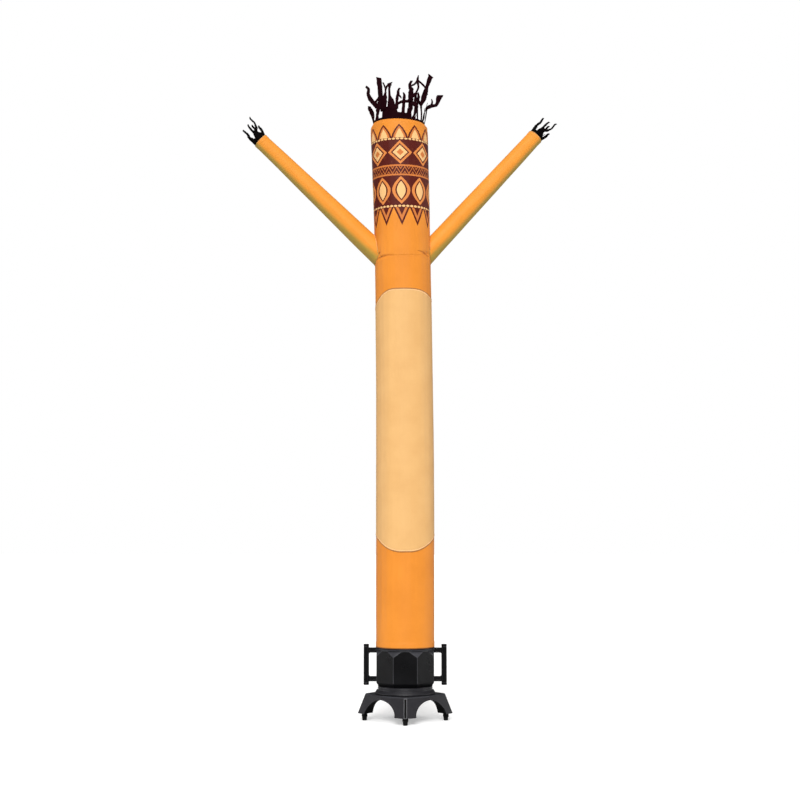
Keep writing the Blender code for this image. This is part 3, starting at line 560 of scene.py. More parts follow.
# Name, azimuth, elevation, height where its axis crosses the body's, length, root and tip radius.
ARMS = (
    ("left", -86, 43.7, 2.384, 0.868, 0.0598, 0.0420),
    ("right", 99, 47.9, 2.3685, 0.892, 0.0552, 0.0437),
)
BODY_COLUMNS, ROW_FINE, ROW_COARSE = 192, 0.004, 0.0125
CIRCUMFERENCE = 2 * math.pi * 0.1545
BACK_RADIUS, BACK_SEAM_HALF = 0.155, 0.007      # the tube's radius at the seam down its back
STITCH = (0.0055, 0.0042, 0.0011)       # pitch, length and thickness
CREASES = (                 # sharp creases at the armpits: two ends as (x, z), and half width
    ((-0.1380, 2.4690), (-0.1060, 2.4800), 0.0060),
    ((-0.1060, 2.4800), (-0.0480, 2.4780), 0.0026),
    ((-0.1370, 2.4910), (-0.1220, 2.5040), 0.0052),
    ((0.0840, 2.5060), (0.1180, 2.5020), 0.0040),
    ((0.1130, 2.5010), (0.1400, 2.4860), 0.0062),
)


def ease(share):
    share = min(max(share, 0.0), 1.0)
    return share * share * (3 - 2 * share)


def body_radius(height):
    for (low, first), (high, last) in zip(BODY_RADII, BODY_RADII[1:]):
        if height <= high:
            return first + (last - first) * ease((height - low) / (high - low))
    return BODY_RADII[-1][1]


def body_lean(height):
    return -LEAN * max(0.0, (height - HEM_Z) / (RIM_Z - HEM_Z)) ** LEAN_POWER


def seam_height(azimuth):
    return SEAM_Z + SEAM_RISE * math.sin(math.radians(azimuth)) ** 2


def rim_height(azimuth):
    return RIM_Z - RIM_DROP * math.sin(math.radians(azimuth))


def flutter(azimuth, height):
    """How far the blown cloth stands out of round: long soft folds, and puckers at the seams."""
    angle = math.radians(azimuth)
    around = Vector((math.sin(angle), math.cos(angle), 0))
    out = 0.0030 * noise.noise(around * 1.9 + Vector((0, 0, 0.55 * height)))
    out += 0.0013 * noise.noise(around * 7.5 + Vector((4, 0, 1.3 * height)))
    out += 0.0005 * noise.noise(around * 19 + Vector((0, 7, 9 * height)))
    seams = (HEM_Z, 0.05, 0.0012), (seam_height(azimuth), 0.045, 0.0026), (RIM_Z, 0.03, 0.0012)
    for seam, reach, deep in seams:
        near = math.exp(-abs(height - seam) / reach)
        out += deep * near * noise.noise(around * 12 + Vector((0, 3, 7 * height)))
    tight = ease((height - COLLAR_TOP + 0.01) / 0.12)       # the collar holds the hem round
    return out * tight + 0.0004 * (1 - tight)


def body_point(azimuth, height, offset=0.0):
    """A point of the body tube's outer face, moved out by offset."""
    wrapped = (azimuth + 180) % 360 - 180
    radius = body_radius(height) + offset + flutter(wrapped, height)
    for at, level, rise, deep, half_length, half_width in TUCKS:
        along = (wrapped - at) / half_length
        across = (height - level - rise * (wrapped - at)) / half_width
        radius -= deep * math.exp(-along * along - across * across)
    angle = math.radians(azimuth)
    lean = Vector((body_lean(height), 0, height))
    return AXIS + lean + Vector((math.sin(angle), -math.cos(angle), 0)) * radius


def outward(azimuth):
    return turn_z(azimuth) @ Vector((0, -1, 0))


def arm_frame(arm):
    """Root point on the body's face, direction, and two directions across it (sideways, up)."""
    _, azimuth, elevation, axis_height = arm[:4]
    rise = math.radians(elevation)
    along = outward(azimuth) * math.cos(rise) + Vector((0, 0, math.sin(rise)))
    sideways = Vector((0, 0, 1)).cross(outward(azimuth))
    up = sideways.cross(along) * -1
    if up.z < 0:
        up.negate()
    centre = AXIS + Vector((body_lean(SEAM_Z), 0, axis_height))
    return centre + along * (body_radius(SEAM_Z) / math.cos(rise)), along, sideways, up


def outside_sleeve(point, arm):
    """How far a point is outside the sleeve's tapered cylinder."""
    root, along, _, _ = arm_frame(arm)
    distance = (point - root).dot(along)
    if distance < -0.18:
        return 1.0
    radius = arm[5] + (arm[6] - arm[5]) * distance / arm[4]
    return (point - root - along * distance).length - radius


def grid(bm, columns, rows):
    """A new grid: its UV layer, and its vertices with the share across and up where each lies."""
    uv = bm.loops.layers.uv.get("flat") or bm.loops.layers.uv.new("flat")
    made = bmesh.ops.create_grid(bm, x_segments=columns, y_segments=rows, size=0.5)["verts"]
    return uv, [(v, v.co.x + 0.5, v.co.y + 0.5) for v in made]


def put(v, uv, point, flat):
    v.co = point
    for loop in v.link_loops:
        loop[uv].uv = flat


def cloth(columns, levels, place, holes=()):
    """A flat grid of cloth laid in shape. place(s, level) gives a point and its flat place (m).

    Armholes are cut where the faces lie inside a sleeve, and their edge is trimmed round.
    """
    bm = bmesh.new()
    rows = len(levels) - 1
    uv, spots = grid(bm, columns, rows)
    spot = {v: (s, round(t * rows)) for v, s, t in spots}
    for v, (s, k) in spot.items():
        put(v, uv, *place(s, levels[k]))

    def clear(point):
        return min(outside_sleeve(point, arm) for arm in holes) + 2.5 * WALL

    if holes:
        near = [f for f in bm.faces if clear(f.calc_center_median()) < 0]
        trimmed = {v for f in near for v in f.verts}
        bmesh.ops.delete(bm, geom=near, context="FACES")
        for v in [v for v in trimmed if v.is_valid]:
            s, level, end = spot[v][0], levels[spot[v][1]], spot[v][1] in (0, rows)
            for _ in range(4):
                here = clear(place(s, level)[0])
                slope_s = (clear(place(s + 0.001, level)[0]) - here) / 0.001 / CIRCUMFERENCE
                slope_up = 0.0 if end else (clear(place(s, level + 0.001)[0]) - here) / 0.001
                step = here / max(slope_s**2 + slope_up**2, 0.05)
                s -= step * slope_s / CIRCUMFERENCE
                level -= step * slope_up
            put(v, uv, *place(s, level))
    bmesh.ops.remove_doubles(bm, verts=bm.verts, dist=1e-5)
    return bm


def levels_between(low, high, coarse, band):
    """Heights of a cloth's rows: fine ones in a band at each end, coarse ones between."""
    ends = [low + band * k / round(band / ROW_FINE) for k in range(round(band / ROW_FINE))]
    count = round((high - low - 2 * band) / coarse)
    middle = [low + band + (high - low - 2 * band) * k / count for k in range(count)]
    return ends + middle + [high - (level - low) for level in reversed(ends + [low + band])]


def fold(distance, wide, high):
    """Height of a folded edge: full up to its width from the edge, then a short step down."""
    return high * ease((wide - distance) / FOLD_STEP + 0.5)


def coated_nylon(name, light, deep, thread, roughness, sheen, specular=0.18, dress=None):
    """Woven ripstop nylon with a thin coating: squares of thicker threads, soft creases.

    dress, if there is one, changes the colour and the relief before they reach the shader.
    """
    material, add = new_material(name)
    flat = add("UVMap", uv_map="flat")
    # Ripstop squares are 5 mm in the real cloth. They are drawn at 8 mm, so that they show.
    squares = add("VectorMath", {0: flat, 1: (125.0, 125.0, 0.0)}, operation="MULTIPLY")
    x, y, _ = add("SeparateXYZ", {0: add("VectorMath", {0: squares}, operation="FRACTION")}).node.outputs
    near = add("Math", {0: x, 1: y}, operation="MINIMUM")
    span = {"From Min": 0.04, "From Max": 0.14, "To Min": 1.0, "To Max": 0.0}
    threads = add("MapRange", {"Value": near} | span)
    # Long folds run with the tube's length, small crumples lie anyhow.
    drawn_out = add("Mapping", {"Vector": flat, "Scale": (26.0, 4.5, 1.0)})
    folds = add("TexNoise", {"Vector": drawn_out, "Scale": 1.0, "Detail": 3.0})
    crumple = add("TexNoise", {"Vector": flat, "Scale": 55.0, "Detail": 4.0, "Roughness": 0.6})
    mottle = add("TexNoise", {"Vector": flat, "Scale": 7.0, "Detail": 4.0})
    relief = add("Math", {0: folds, 1: 2.2, 2: crumple}, operation="MULTIPLY_ADD")
    share = add("MapRange", {"Value": mottle, "From Min": 0.35, "From Max": 0.68})
    tone = add("Mix", {0: share, 6: linear(light), 7: linear(deep)}, 2, data_type="RGBA")
    marked = add("Math", {0: threads, 1: 0.16}, operation="MULTIPLY")
    colour = add("Mix", {0: marked, 6: tone, 7: linear(thread)}, 2, data_type="RGBA")
    if dress:
        colour, relief = dress(add, flat, colour, relief)
    bump = add("Bump", {"Height": relief, "Strength": 0.35, "Distance": 0.0016})
    bump = add("Bump", {"Height": threads, "Strength": 0.35, "Distance": 0.0002, "Normal": bump})
    span = {"From Min": 0.3, "From Max": 0.7, "To Min": roughness - 0.06, "To Max": roughness + 0.06}
    gloss = add("MapRange", {"Value": crumple} | span)
    skin = {"Base Color": colour, "Roughness": gloss, "Normal": bump, "Specular IOR Level": specular}
    skin |= {"Sheen Weight": sheen, "Sheen Roughness": 0.4}
    add("OutputMaterial", {"Surface": add("BsdfPrincipled", skin)})
    return material


def creased(add, flat, colour, relief):
    """Short sharp creases in front of the armpits: they dip, and are painted brown-dark as shade in the
    crease.
    """
    x, y, z = add("SeparateXYZ", {0: add("TexCoord", out="Object")}).node.outputs
    front = add("Math", {0: y, 1: 0.0}, operation="LESS_THAN")
    upright = add("CombineXYZ", {0: x, 2: z})
    worst = None
    for a, b, half in CREASES:
        start, span = (a[0], 0.0, a[1]), Vector((b[0] - a[0], 0.0, b[1] - a[1]))
        away = add("VectorMath", {0: upright, 1: start}, operation="SUBTRACT")
        reach = {0: away, 1: tuple(span / span.length_squared)}
        held = add("Clamp", {0: add("VectorMath", reach, "Value", operation="DOT_PRODUCT")})
        foot = add("VectorMath", {0: tuple(span), "Scale": held}, operation="SCALE")
        off = add("VectorMath", {0: away, 1: foot}, "Value", operation="DISTANCE")
        fade = {"Value": off, "From Max": half, "To Min": 1.0, "To Max": 0.0}
        mask = add("MapRange", fade, interpolation_type="SMOOTHSTEP")
        worst = add("Math", {0: worst, 1: mask}, operation="MAXIMUM") if worst else mask
    share = add("Math", {0: worst, 1: front}, operation="MULTIPLY")
    dirt = add("Math", {0: share, 1: 0.55}, operation="MULTIPLY")
    marked = add("Mix", {0: dirt, 6: colour, 7: linear("#8a4416")}, 2, data_type="RGBA")
    return marked, add("Math", {0: share, 1: -2.5, 2: relief}, operation="MULTIPLY_ADD")


def rubbed_hem(add, flat, colour, relief):
    """Creased, and the hem's lowest edge is painted brown: painted shade under the hem, just over the
    blower's rim.
    """
    colour, relief = creased(add, flat, colour, relief)
    height = add("SeparateXYZ", {0: add("TexCoord", out="Object")}, 2)
    span = {"From Min": HEM_Z + 0.002, "From Max": HEM_Z + 0.008, "To Min": 0.85, "To Max": 0.0}
    rubbed = add("MapRange", {"Value": height} | span)
    return add("Mix", {0: rubbed, 6: colour, 7: linear("#4e2c0e")}, 2, data_type="RGBA"), relief


def spun(name, dark, pale, scale, roughness):
    """Polyester thread, whose twist shows as fine spots. It also colours the brown strip of painted shadow.
    """
    material, add = new_material(name)
    twist = add("TexNoise", {"Vector": add("TexCoord", out="Object"), "Scale": scale, "Detail": 1.0})
    tone = add("Mix", {0: twist, 6: linear(dark), 7: linear(pale)}, 2, data_type="RGBA")
    add("OutputMaterial", {"Surface": add("BsdfPrincipled", {"Base Color": tone, "Roughness": roughness})})
    return material


def thickened(obj, thickness, offset=-1.0):
    """Gives an open cloth its thickness: inwards, or both ways with offset 0."""
    solid = obj.modifiers.new("cloth thickness", "SOLIDIFY")
    solid.thickness = thickness
    solid.offset = offset


def sewn(name, rows, pitch, long, thick, thread):
    """Lines of stitches. Each row is a list of (place, outward) close together."""
    bead = bmesh.new()
    bmesh.ops.create_uvsphere(bead, u_segments=6, v_segments=4, radius=0.5)
    bmesh.ops.scale(bead, verts=bead.verts, vec=(long, thick, thick))
    one = bpy.data.meshes.new(f"{name}_one")
    bead.to_mesh(one)
    bead.free()
    bm = bmesh.new()
    for row in rows:
        travelled, next_stitch = 0.0, pitch / 2
        for (a, out_a), (b, out_b) in zip(row, row[1:]):
            span = (b - a).length
            while next_stitch <= travelled + span:
                share = (next_stitch - travelled) / span
                along = (b - a).normalized()
                across = out_a.lerp(out_b, share).cross(along).normalized()
                turned = Matrix((along, across, along.cross(across))).transposed()
                first = len(bm.verts)
                bm.from_mesh(one)
                bm.verts.ensure_lookup_table()
                for v in bm.verts[first:]:
                    v.co = turned @ v.co + a.lerp(b, share)
                next_stitch += pitch
            travelled += span
    bpy.data.meshes.remove(one)
    return piece(name, bm, thread, sharp=80)


def back_seam(azimuth):
    """Height of the felled seam that closes the cloth down the back."""
    from_seam = (180 - abs((azimuth + 180) % 360 - 180)) * math.radians(1) * BACK_RADIUS
    return fold(from_seam, BACK_SEAM_HALF, 0.0010)


def lower_place(s, level):
    """Rows run from the hem to the chest seam, which isn't level."""
    azimuth = 360 * s - 180
    height = level + (seam_height(azimuth) - SEAM_Z) * ease((level - 2.30) / (SEAM_Z - 2.30))
    offset = fold(level - HEM_Z, HEM_WIDE, 0.0012) + back_seam(azimuth)
    offset += fold(SEAM_Z - level, *SEAM_FOLD)
    return body_point(azimuth, height, offset), (s * CIRCUMFERENCE, height)


def ring_at(height_of, offset):
    """Places round the body, one for each degree, each with the way it faces."""
    return [(body_point(a, height_of(a), offset), outward(a)) for a in range(-180, 181)]


def clear_of_sleeves(places):
    """The parts of a line of places that lie outside both armholes."""
    parts, part = [], []
    for place, facing in places:
        if all(outside_sleeve(place, arm) > 0.004 for arm in ARMS):
            part.append((place, facing))
        elif part:
            parts.append(part)
            part = []
    return [part for part in parts + [part] if len(part) > 2]


def back_rows(low, count):
    """Two lines of places up the back, one each side of the felled seam's middle."""
    sides = [180 + math.degrees(side / BACK_RADIUS) for side in (-0.0045, 0.0045)]
    return [[(body_point(at, low + 0.02 * k, 0.0010), outward(at)) for k in range(count)] for at in sides]


# Nylon taffeta with a thin coating takes a soft sheen, and looks lit from inside when blown up.
ORANGE = ("#d2812a", "#cb7b26", "#be6d1e", 0.58, 0.04)
orange_nylon = coated_nylon("orange_coated_ripstop_nylon", *ORANGE, dress=rubbed_hem)
# Bonded polyester sewing thread, a little darker than the cloth that it holds.
orange_thread = spun("orange_bonded_polyester_thread", "#c47426", "#cf802c", 900.0, 0.5)

lower_levels = levels_between(HEM_Z, SEAM_Z, ROW_COARSE, 0.044)
lower_cloth = cloth(BODY_COLUMNS, lower_levels, lower_place, ARMS)
lower = piece("lower_body_cloth", lower_cloth, orange_nylon, sharp=CLOTH_SHARP)
thickened(lower, WALL)
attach(lower, "root")
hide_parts("tube_lower")

rows = [ring_at(lambda a, h=h: HEM_Z + h, 0.0012) for h in (0.006, 0.026)] + back_rows(HEM_Z + 0.03, 104)
rows += clear_of_sleeves(ring_at(lambda a: seam_height(a) - 0.006, 0.0002))
lower_stitches = sewn("lower_body_stitching", rows, *STITCH, orange_thread)
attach(lower_stitches, "root")

# ---------------- head tube
# The upper body is a second cloth, sewn to the lower one at the chest and open at the top.
# Its upper part is screen printed all round with a plain pattern of leaves and pointed bands.

TOP_HEM = 0.020
INKS = {"maroon": "#4c1006", "amber": "#bb6c32", "orange": "#c97a3c", "cream": "#dcae74"}
PRINT_BANDS = (             # low, high, motifs round the tube, motif, inks from its outside in
    (2.640, 2.738, 11, "pennant", ((0.0, None), (0.50, "maroon"), (0.62, "amber"), (0.78, "maroon"))),
    (2.738, 2.752, 44, "dot", ((0.0, "maroon"), (0.66, "cream"))),
    (2.752, 2.912, 9, "leaf", ((0.0, "maroon"), (0.54, "orange"), (0.70, "maroon"), (0.78, "cream"))),
    (2.912, 2.921, 9, "line", ((0.0, "amber"),)),
    (2.921, 2.963, 22, "chevron", ((0.0, "maroon"), (0.36, "amber"), (0.62, "maroon"))),
    (2.963, 2.972, 9, "line", ((0.0, "amber"),)),
    (2.972, 3.108, 7, "diamond",
     ((0.0, "maroon"), (0.52, "orange"), (0.64, "maroon"), (0.71, "cream"), (0.86, "amber"))),
    (3.108, 3.120, 44, "dot", ((0.0, "maroon"), (0.66, "cream"))),
    (3.120, 3.196, 11, "petal", ((0.0, None), (0.50, "maroon"), (0.61, "amber"), (0.74, "cream"))),
)
# Sums in steps, with x (0 at a motif's middle, 1 between two), y (0 to 1 up) and the last result.
MOTIFS = {
    "pennant": (("SUBTRACT", "y", "x"),),
    "leaf": (("MULTIPLY", "y", math.pi), ("SINE", "last"), ("SUBTRACT", "last", "x")),
    "diamond": (("MULTIPLY_ADD", "y", 2.0, -1.0), ("ABSOLUTE", "last"), ("SUBTRACT", 1.0, "last"),
                ("SUBTRACT", "last", "x")),
    "petal": (("POWER", "y", 1.6), ("SUBTRACT", 1.0, "last"), ("SUBTRACT", "last", "x")),
    "chevron": (("MULTIPLY_ADD", "x", 0.9, "y"), ("MULTIPLY", "last", 1.6), ("FRACT", "last"),
                ("MULTIPLY_ADD", "last", 2.0, -1.0)),
    "dot": (("MULTIPLY_ADD", "y", 2.0, -1.0), ("MULTIPLY", "last", "last"),
            ("MULTIPLY_ADD", "x", "x", "last"), ("SUBTRACT", 1.0, "last")),
    "line": (("MULTIPLY", "x", 0.0),),
}


def printed(add, flat, colour, relief):
    """Creased, and printed with the bands over the cloth's own colour: each a row of one motif."""
    bare, relief = creased(add, flat, colour, relief)
    bleed = add("TexNoise", {"Vector": flat, "Scale": 420.0, "Detail": 2.0}, "Color")
    wander = add("VectorMath", {0: bleed, 1: (0.5, 0.5, 0.5)}, operation="SUBTRACT")
    # The ink's edge wanders by about 1 mm over the threads.
    edge = add("VectorMath", {0: wander, 1: (0.0018, 0.0018, 0.0), 2: flat}, operation="MULTIPLY_ADD")
    along, up, _ = add("SeparateXYZ", {0: edge}).node.outputs
    inked = bare
    for low, high, repeats, motif, steps in PRINT_BANDS:
        turns = {0: along, 1: 2 * repeats / CIRCUMFERENCE, 2: 0.0 if repeats % 2 else 1.0}
        x = add("Math", {0: add("Math", turns, operation="MULTIPLY_ADD"), 1: 1.0}, operation="PINGPONG")
        y = add("MapRange", {"Value": up, "From Min": low, "From Max": high}, clamp=False)
        known = {"x": x, "y": y}
        for operation, *values in MOTIFS[motif]:
            inputs = {k: known.get(value, value) for k, value in enumerate(values)}
            known["last"] = add("Math", inputs, operation=operation)
        share = add("Math", {0: known["last"], 1: 0.5, 2: 0.5}, operation="MULTIPLY_ADD")
        ramp = add("ValToRGB", {"Fac": share}).node
        ramp.color_ramp.interpolation = "CONSTANT"
        stops = ramp.color_ramp.elements
        stops.remove(stops[1])
        for position, ink in steps:
            stop = stops.new(position) if position else stops[0]
            stop.color = linear(INKS[ink]) if ink else [0.0, 0.0, 0.0, 0.0]
        above = add("Math", {0: up, 1: low}, operation="GREATER_THAN")
        below = add("Math", {0: up, 1: high}, operation="LESS_THAN")
        within = add("Math", {0: above, 1: below}, operation="MULTIPLY")
        there = add("Math", {0: within, 1: ramp.outputs["Alpha"]}, operation="MULTIPLY")
        inked = add("Mix", {0: there, 6: inked, 7: ramp.outputs["Color"]}, 2, data_type="RGBA")
    worn = add("TexNoise", {"Vector": flat, "Scale": 38.0, "Detail": 5.0, "Roughness": 0.7})
    rubbed = add("MapRange", {"Value": worn, "From Min": 0.60, "From Max": 0.78, "To Max": 0.22})
    return add("Mix", {0: rubbed, 6: inked, 7: bare}, 2, data_type="RGBA"), relief


def head_place(s, level):
    """Rows run from the chest seam to the open top edge; neither is level."""
    azimuth = 360 * s - 180
    rise = (seam_height(azimuth) - SEAM_Z) * ease((2.64 - level) / (2.64 - SEAM_Z))
    tip = (rim_height(azimuth) - RIM_Z) * ease((level - 3.10) / (RIM_Z - 3.10))
    height = level + rise + tip - (GAP if level < SEAM_Z + 1e-6 else 0.0)
    offset = back_seam(azimuth) + fold(RIM_Z - level, TOP_HEM, 0.0010)
    offset += fold(level - SEAM_Z, *SEAM_FOLD)
    return body_point(azimuth, height, offset), (s * CIRCUMFERENCE - CIRCUMFERENCE / 2, height)


# The same nylon, printed with matt screen ink that the threads show through.
printed_nylon = coated_nylon("screen_printed_coated_ripstop_nylon", *ORANGE, dress=printed)

head_levels = levels_between(SEAM_Z, RIM_Z, ROW_COARSE, 0.032)
head_cloth = cloth(BODY_COLUMNS, head_levels, head_place, ARMS)
head = piece("head_cloth", head_cloth, printed_nylon, sharp=CLOTH_SHARP)
thickened(head, WALL)
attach(head, "root")
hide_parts("tube_head")

rows = [ring_at(lambda a, h=h: rim_height(a) - h, 0.0010) for h in (0.004, 0.017)]
rows += clear_of_sleeves(ring_at(lambda a: seam_height(a) + 0.005, 0.0002)) + back_rows(SEAM_Z + 0.01, 37)
head_stitches = sewn("head_stitching", rows, *STITCH, orange_thread)
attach(head_stitches, "root")

# ---------------- belly panel
# A cream applique of the same nylon on the front of the lower tube, with rounded corners. Its edge is turned
# under and bound with a tape painted pale as a highlight, and sewn down through both cloths. A brown strip
# just outside the edge is painted shadow.

PANEL_EDGE = 97.5           # azimuth of the two upright edges
PANEL_FLAT_END = 105
PANEL_BOTTOM = (0.895, 0.095, 0.090, 9)     # height in front, rise at left and right, where it starts
PANEL_TOP = (2.2935, -0.098, -0.047, 18)
PANEL_WIDE, PANEL_TALL = 0.527, 1.36
PANEL_COLUMNS, PANEL_ROWS = 104, 116
PANEL_THICK = 0.0007
PANEL_FACE = GAP + 0.0008
PANEL_STITCH = (0.0060, 0.0044, 0.0011)
BINDING, EDGE_CORD = (0.0068, 0.0007), (0.0058, 0.0012)     # width and height
TAPE_SHAPE = ((-0.5, 0.0), (-0.5, 0.6), (-0.42, 1.0), (0.42, 1.0), (0.5, 0.6), (0.5, 0.0))


def panel_height(azimuth, edge):
    """Height of the panel's top or bottom edge: level in front, with rounded corners."""
    front, left, right, start = edge
    change = left if azimuth < 0 else right
    share = min(max((abs(azimuth) - start) / (PANEL_FLAT_END - start), 0.0), 1.0)
    return front + change * (1 - math.cos(math.pi * share)) / 2


def panel_place(s, level, offset=PANEL_FACE):
    azimuth = PANEL_EDGE * (2 * s - 1)
    low, high = panel_height(azimuth, PANEL_BOTTOM), panel_height(azimuth, PANEL_TOP)
    height = low + (high - low) * level
    return body_point(azimuth, height, offset), (s * PANEL_WIDE, height)


def panel_border(inset, offset):
    """Places round the panel's edge, inset by this much, each with the way it faces."""
    across, up = inset / PANEL_WIDE, inset / PANEL_TALL
    corners = ((across, up), (1 - across, up), (1 - across, 1 - up), (across, 1 - up), (across, up))
    places = []
    for (s0, t0), (s1, t1) in zip(corners, corners[1:]):
        count = round(max(abs(s1 - s0) * PANEL_WIDE, abs(t1 - t0) * PANEL_TALL) / 0.008)
        for k in range(count):
            s, t = s0 + (s1 - s0) * k / count, t0 + (t1 - t0) * k / count
            places.append((panel_place(s, t, offset)[0], outward(PANEL_EDGE * (2 * s - 1))))
    return places + places[:1]


def tape(name, line, wide, high, material):
    """A flat band of folded tape with rounded edges, laid along a closed line of places."""
    bm = bmesh.new()
    count = len(line) - 1
    uv, spots = grid(bm, len(TAPE_SHAPE) - 1, count)
    step = (line[1][0] - line[0][0]).length
    for v, s, t in spots:
        (side, lift), k = TAPE_SHAPE[round(s * (len(TAPE_SHAPE) - 1))], round(t * count)
        place, facing = line[k]
        ahead, behind = line[(k + 1) % count][0], line[(k - 1) % count][0]
        across = (ahead - behind).normalized().cross(facing).normalized()
        put(v, uv, place + across * side * wide + facing * lift * high, (side * wide, k * step))
    bmesh.ops.remove_doubles(bm, verts=bm.verts, dist=1e-5)
    return piece(name, bm, material, sharp=50)


cream_nylon = coated_nylon("cream_coated_ripstop_nylon", "#d0a369", "#ca9c62", "#c09052", 0.58, 0.04)
# A folded nylon tape, painted paler than the panel as a highlight along the raised edge.
cream_tape = coated_nylon("pale_cream_nylon_tape", "#e3bb86", "#ddb37d", "#d3a86f", 0.5, 0.04)
# A brown strip laid along the panel's folded edge, on the body: painted shadow of the edge.
brown_cord = spun("brown_woven_polyester_cord", "#8f581e", "#9e6424", 700.0, 0.6)

levels = [k / PANEL_ROWS for k in range(PANEL_ROWS + 1)]
panel_cloth = cloth(PANEL_COLUMNS, levels, panel_place)
panel = piece("belly_panel_cloth", panel_cloth, cream_nylon, sharp=CLOTH_SHARP)
thickened(panel, PANEL_THICK)
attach(panel, "root")
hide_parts("belly_panel")

binding = tape("belly_panel_binding", panel_border(BINDING[0] / 2, PANEL_FACE), *BINDING, cream_tape)
thread_rows = [panel_border(inset, PANEL_FACE + 0.0008) for inset in (0.0014, 0.0054)]
panel_stitches = sewn("belly_panel_stitching", thread_rows, *PANEL_STITCH, orange_thread)
edge_cord = tape("belly_panel_edge_cord", panel_border(-0.0030, GAP), *EDGE_CORD, brown_cord)
for trim in (binding, panel_stitches, edge_cord):
    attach(trim, "root")

# ---------------- sleeves
# Two tapered sleeves, each cut from one cloth of the same nylon and sewn into an armhole across
# the chest seam. The cuff is hemmed and stays open, so that the air streams out at the hand.

SLEEVE_COLUMNS, SLEEVE_ROW = 64, 0.0115
CUFF_HEM, CUFF_FOLD = 0.022, 0.0009
ARMHOLE_TAPE, CUFF_TAPE = (0.0034, 0.0014), (0.0034, 0.0008)    # width and height
# The olive cast on the undersides is painted light, a green tinge thrown up from below.
UNDERSIDE_ONSET, TAPE_ONSET = -0.38, 0.10   # where the olive cast starts on cloth and armhole tape


def out_of_body(point):
    """How far a point is outside the body tube."""
    flat = point - AXIS - Vector((body_lean(point.z), 0, point.z))
    azimuth = math.degrees(math.atan2(flat.x, -flat.y))
    return (point - body_point(azimuth, point.z)).dot(outward(azimuth))


def sleeve_point(arm, around, distance, offset=0.0):
    """A place on the sleeve: azimuth round it (0 is up), distance along it from the root."""
    root, along, sideways, up = arm_frame(arm)
    angle = math.radians(around)
    facing = up * math.cos(angle) + sideways * math.sin(angle)
    radius = arm[5] + (arm[6] - arm[5]) * distance / arm[4] + offset
    spot = Vector((math.cos(angle), math.sin(angle), 0))
    own = 11.0 if arm[0] == "left" else 3.0
    radius += 0.0016 * noise.noise(spot * 1.5 + Vector((own, 0, 2.2 * distance)))
    radius += 0.0008 * noise.noise(spot * 4.0 + Vector((own, 5, 5.0 * distance)))
    pulled = math.exp(-max(distance, 0.0) / 0.05) + 0.5 * math.exp(-(arm[4] - distance) / 0.03)
    radius += 0.0020 * pulled * noise.noise(spot * 5.5 + Vector((own, 9, 3.0 * distance)))
    return root + along * distance + facing * radius, facing


def sleeve_start(arm, around):
    """Where along the sleeve its surface comes out of the body."""
    low, high = -0.12, 0.14
    for _ in range(22):
        middle = (low + high) / 2
        if out_of_body(sleeve_point(arm, around, middle)[0]) < 0.0006:
            low = middle
        else:
            high = middle
    return high


def olive_below(add, flat, colour, relief):
    """The underside is painted olive: painted light, a green tinge thrown up from below."""
    under = add("Attribute", out="Fac", attribute_name="underside")
    blotch = add("TexNoise", {"Vector": flat, "Scale": 24.0})
    uneven = add("MapRange", {"Value": blotch, "To Min": 0.75, "To Max": 1.1})
    share = add("Math", {0: under, 1: uneven}, operation="MULTIPLY", use_clamp=True)
    return add("Mix", {0: share, 6: colour, 7: linear("#8f8238")}, 2, data_type="RGBA"), relief


def mark_underside(obj, arm, onset):
    """Stores how far each point lies on the sleeve's underside, for the painted olive light; the mark is
    wider at the root.
    """
    root, along, _, _ = arm_frame(arm)
    share = obj.data.attributes.new("underside", "FLOAT", "POINT")
    for v, mark in zip(obj.data.vertices, share.data):
        distance = (v.co - root).dot(along)
        spoke = (v.co - root - along * distance).normalized()
        start = onset + 0.25 * math.exp(-max(distance, 0.0) / 0.12)
        mark.value = 0.9 * ease((start - spoke.z / along.xy.length) / 0.50)


SLEEVE_TONES = ("#d7892e", "#d0832a", "#c37522", 0.58, 0.04)
PALE_TAPE_TONES = ("#dfa261", "#d99a58", "#cd8c48", 0.5, 0.04)
ORANGE_TAPE_TONES = ("#cd7c28", "#c57522", "#b8681c", 0.5, 0.04)
sleeve_nylon = coated_nylon("weathered_orange_ripstop_nylon", *SLEEVE_TONES, dress=olive_below)
# The armholes are bound with tape: a paler one on the left, painted pale as a highlight along that armhole,
# and one like the cloth on the right.
armhole_tapes = {
    "left": coated_nylon("weathered_pale_amber_nylon_tape", *PALE_TAPE_TONES, dress=olive_below),
    "right": coated_nylon("weathered_orange_nylon_tape", *ORANGE_TAPE_TONES, dress=olive_below),
}

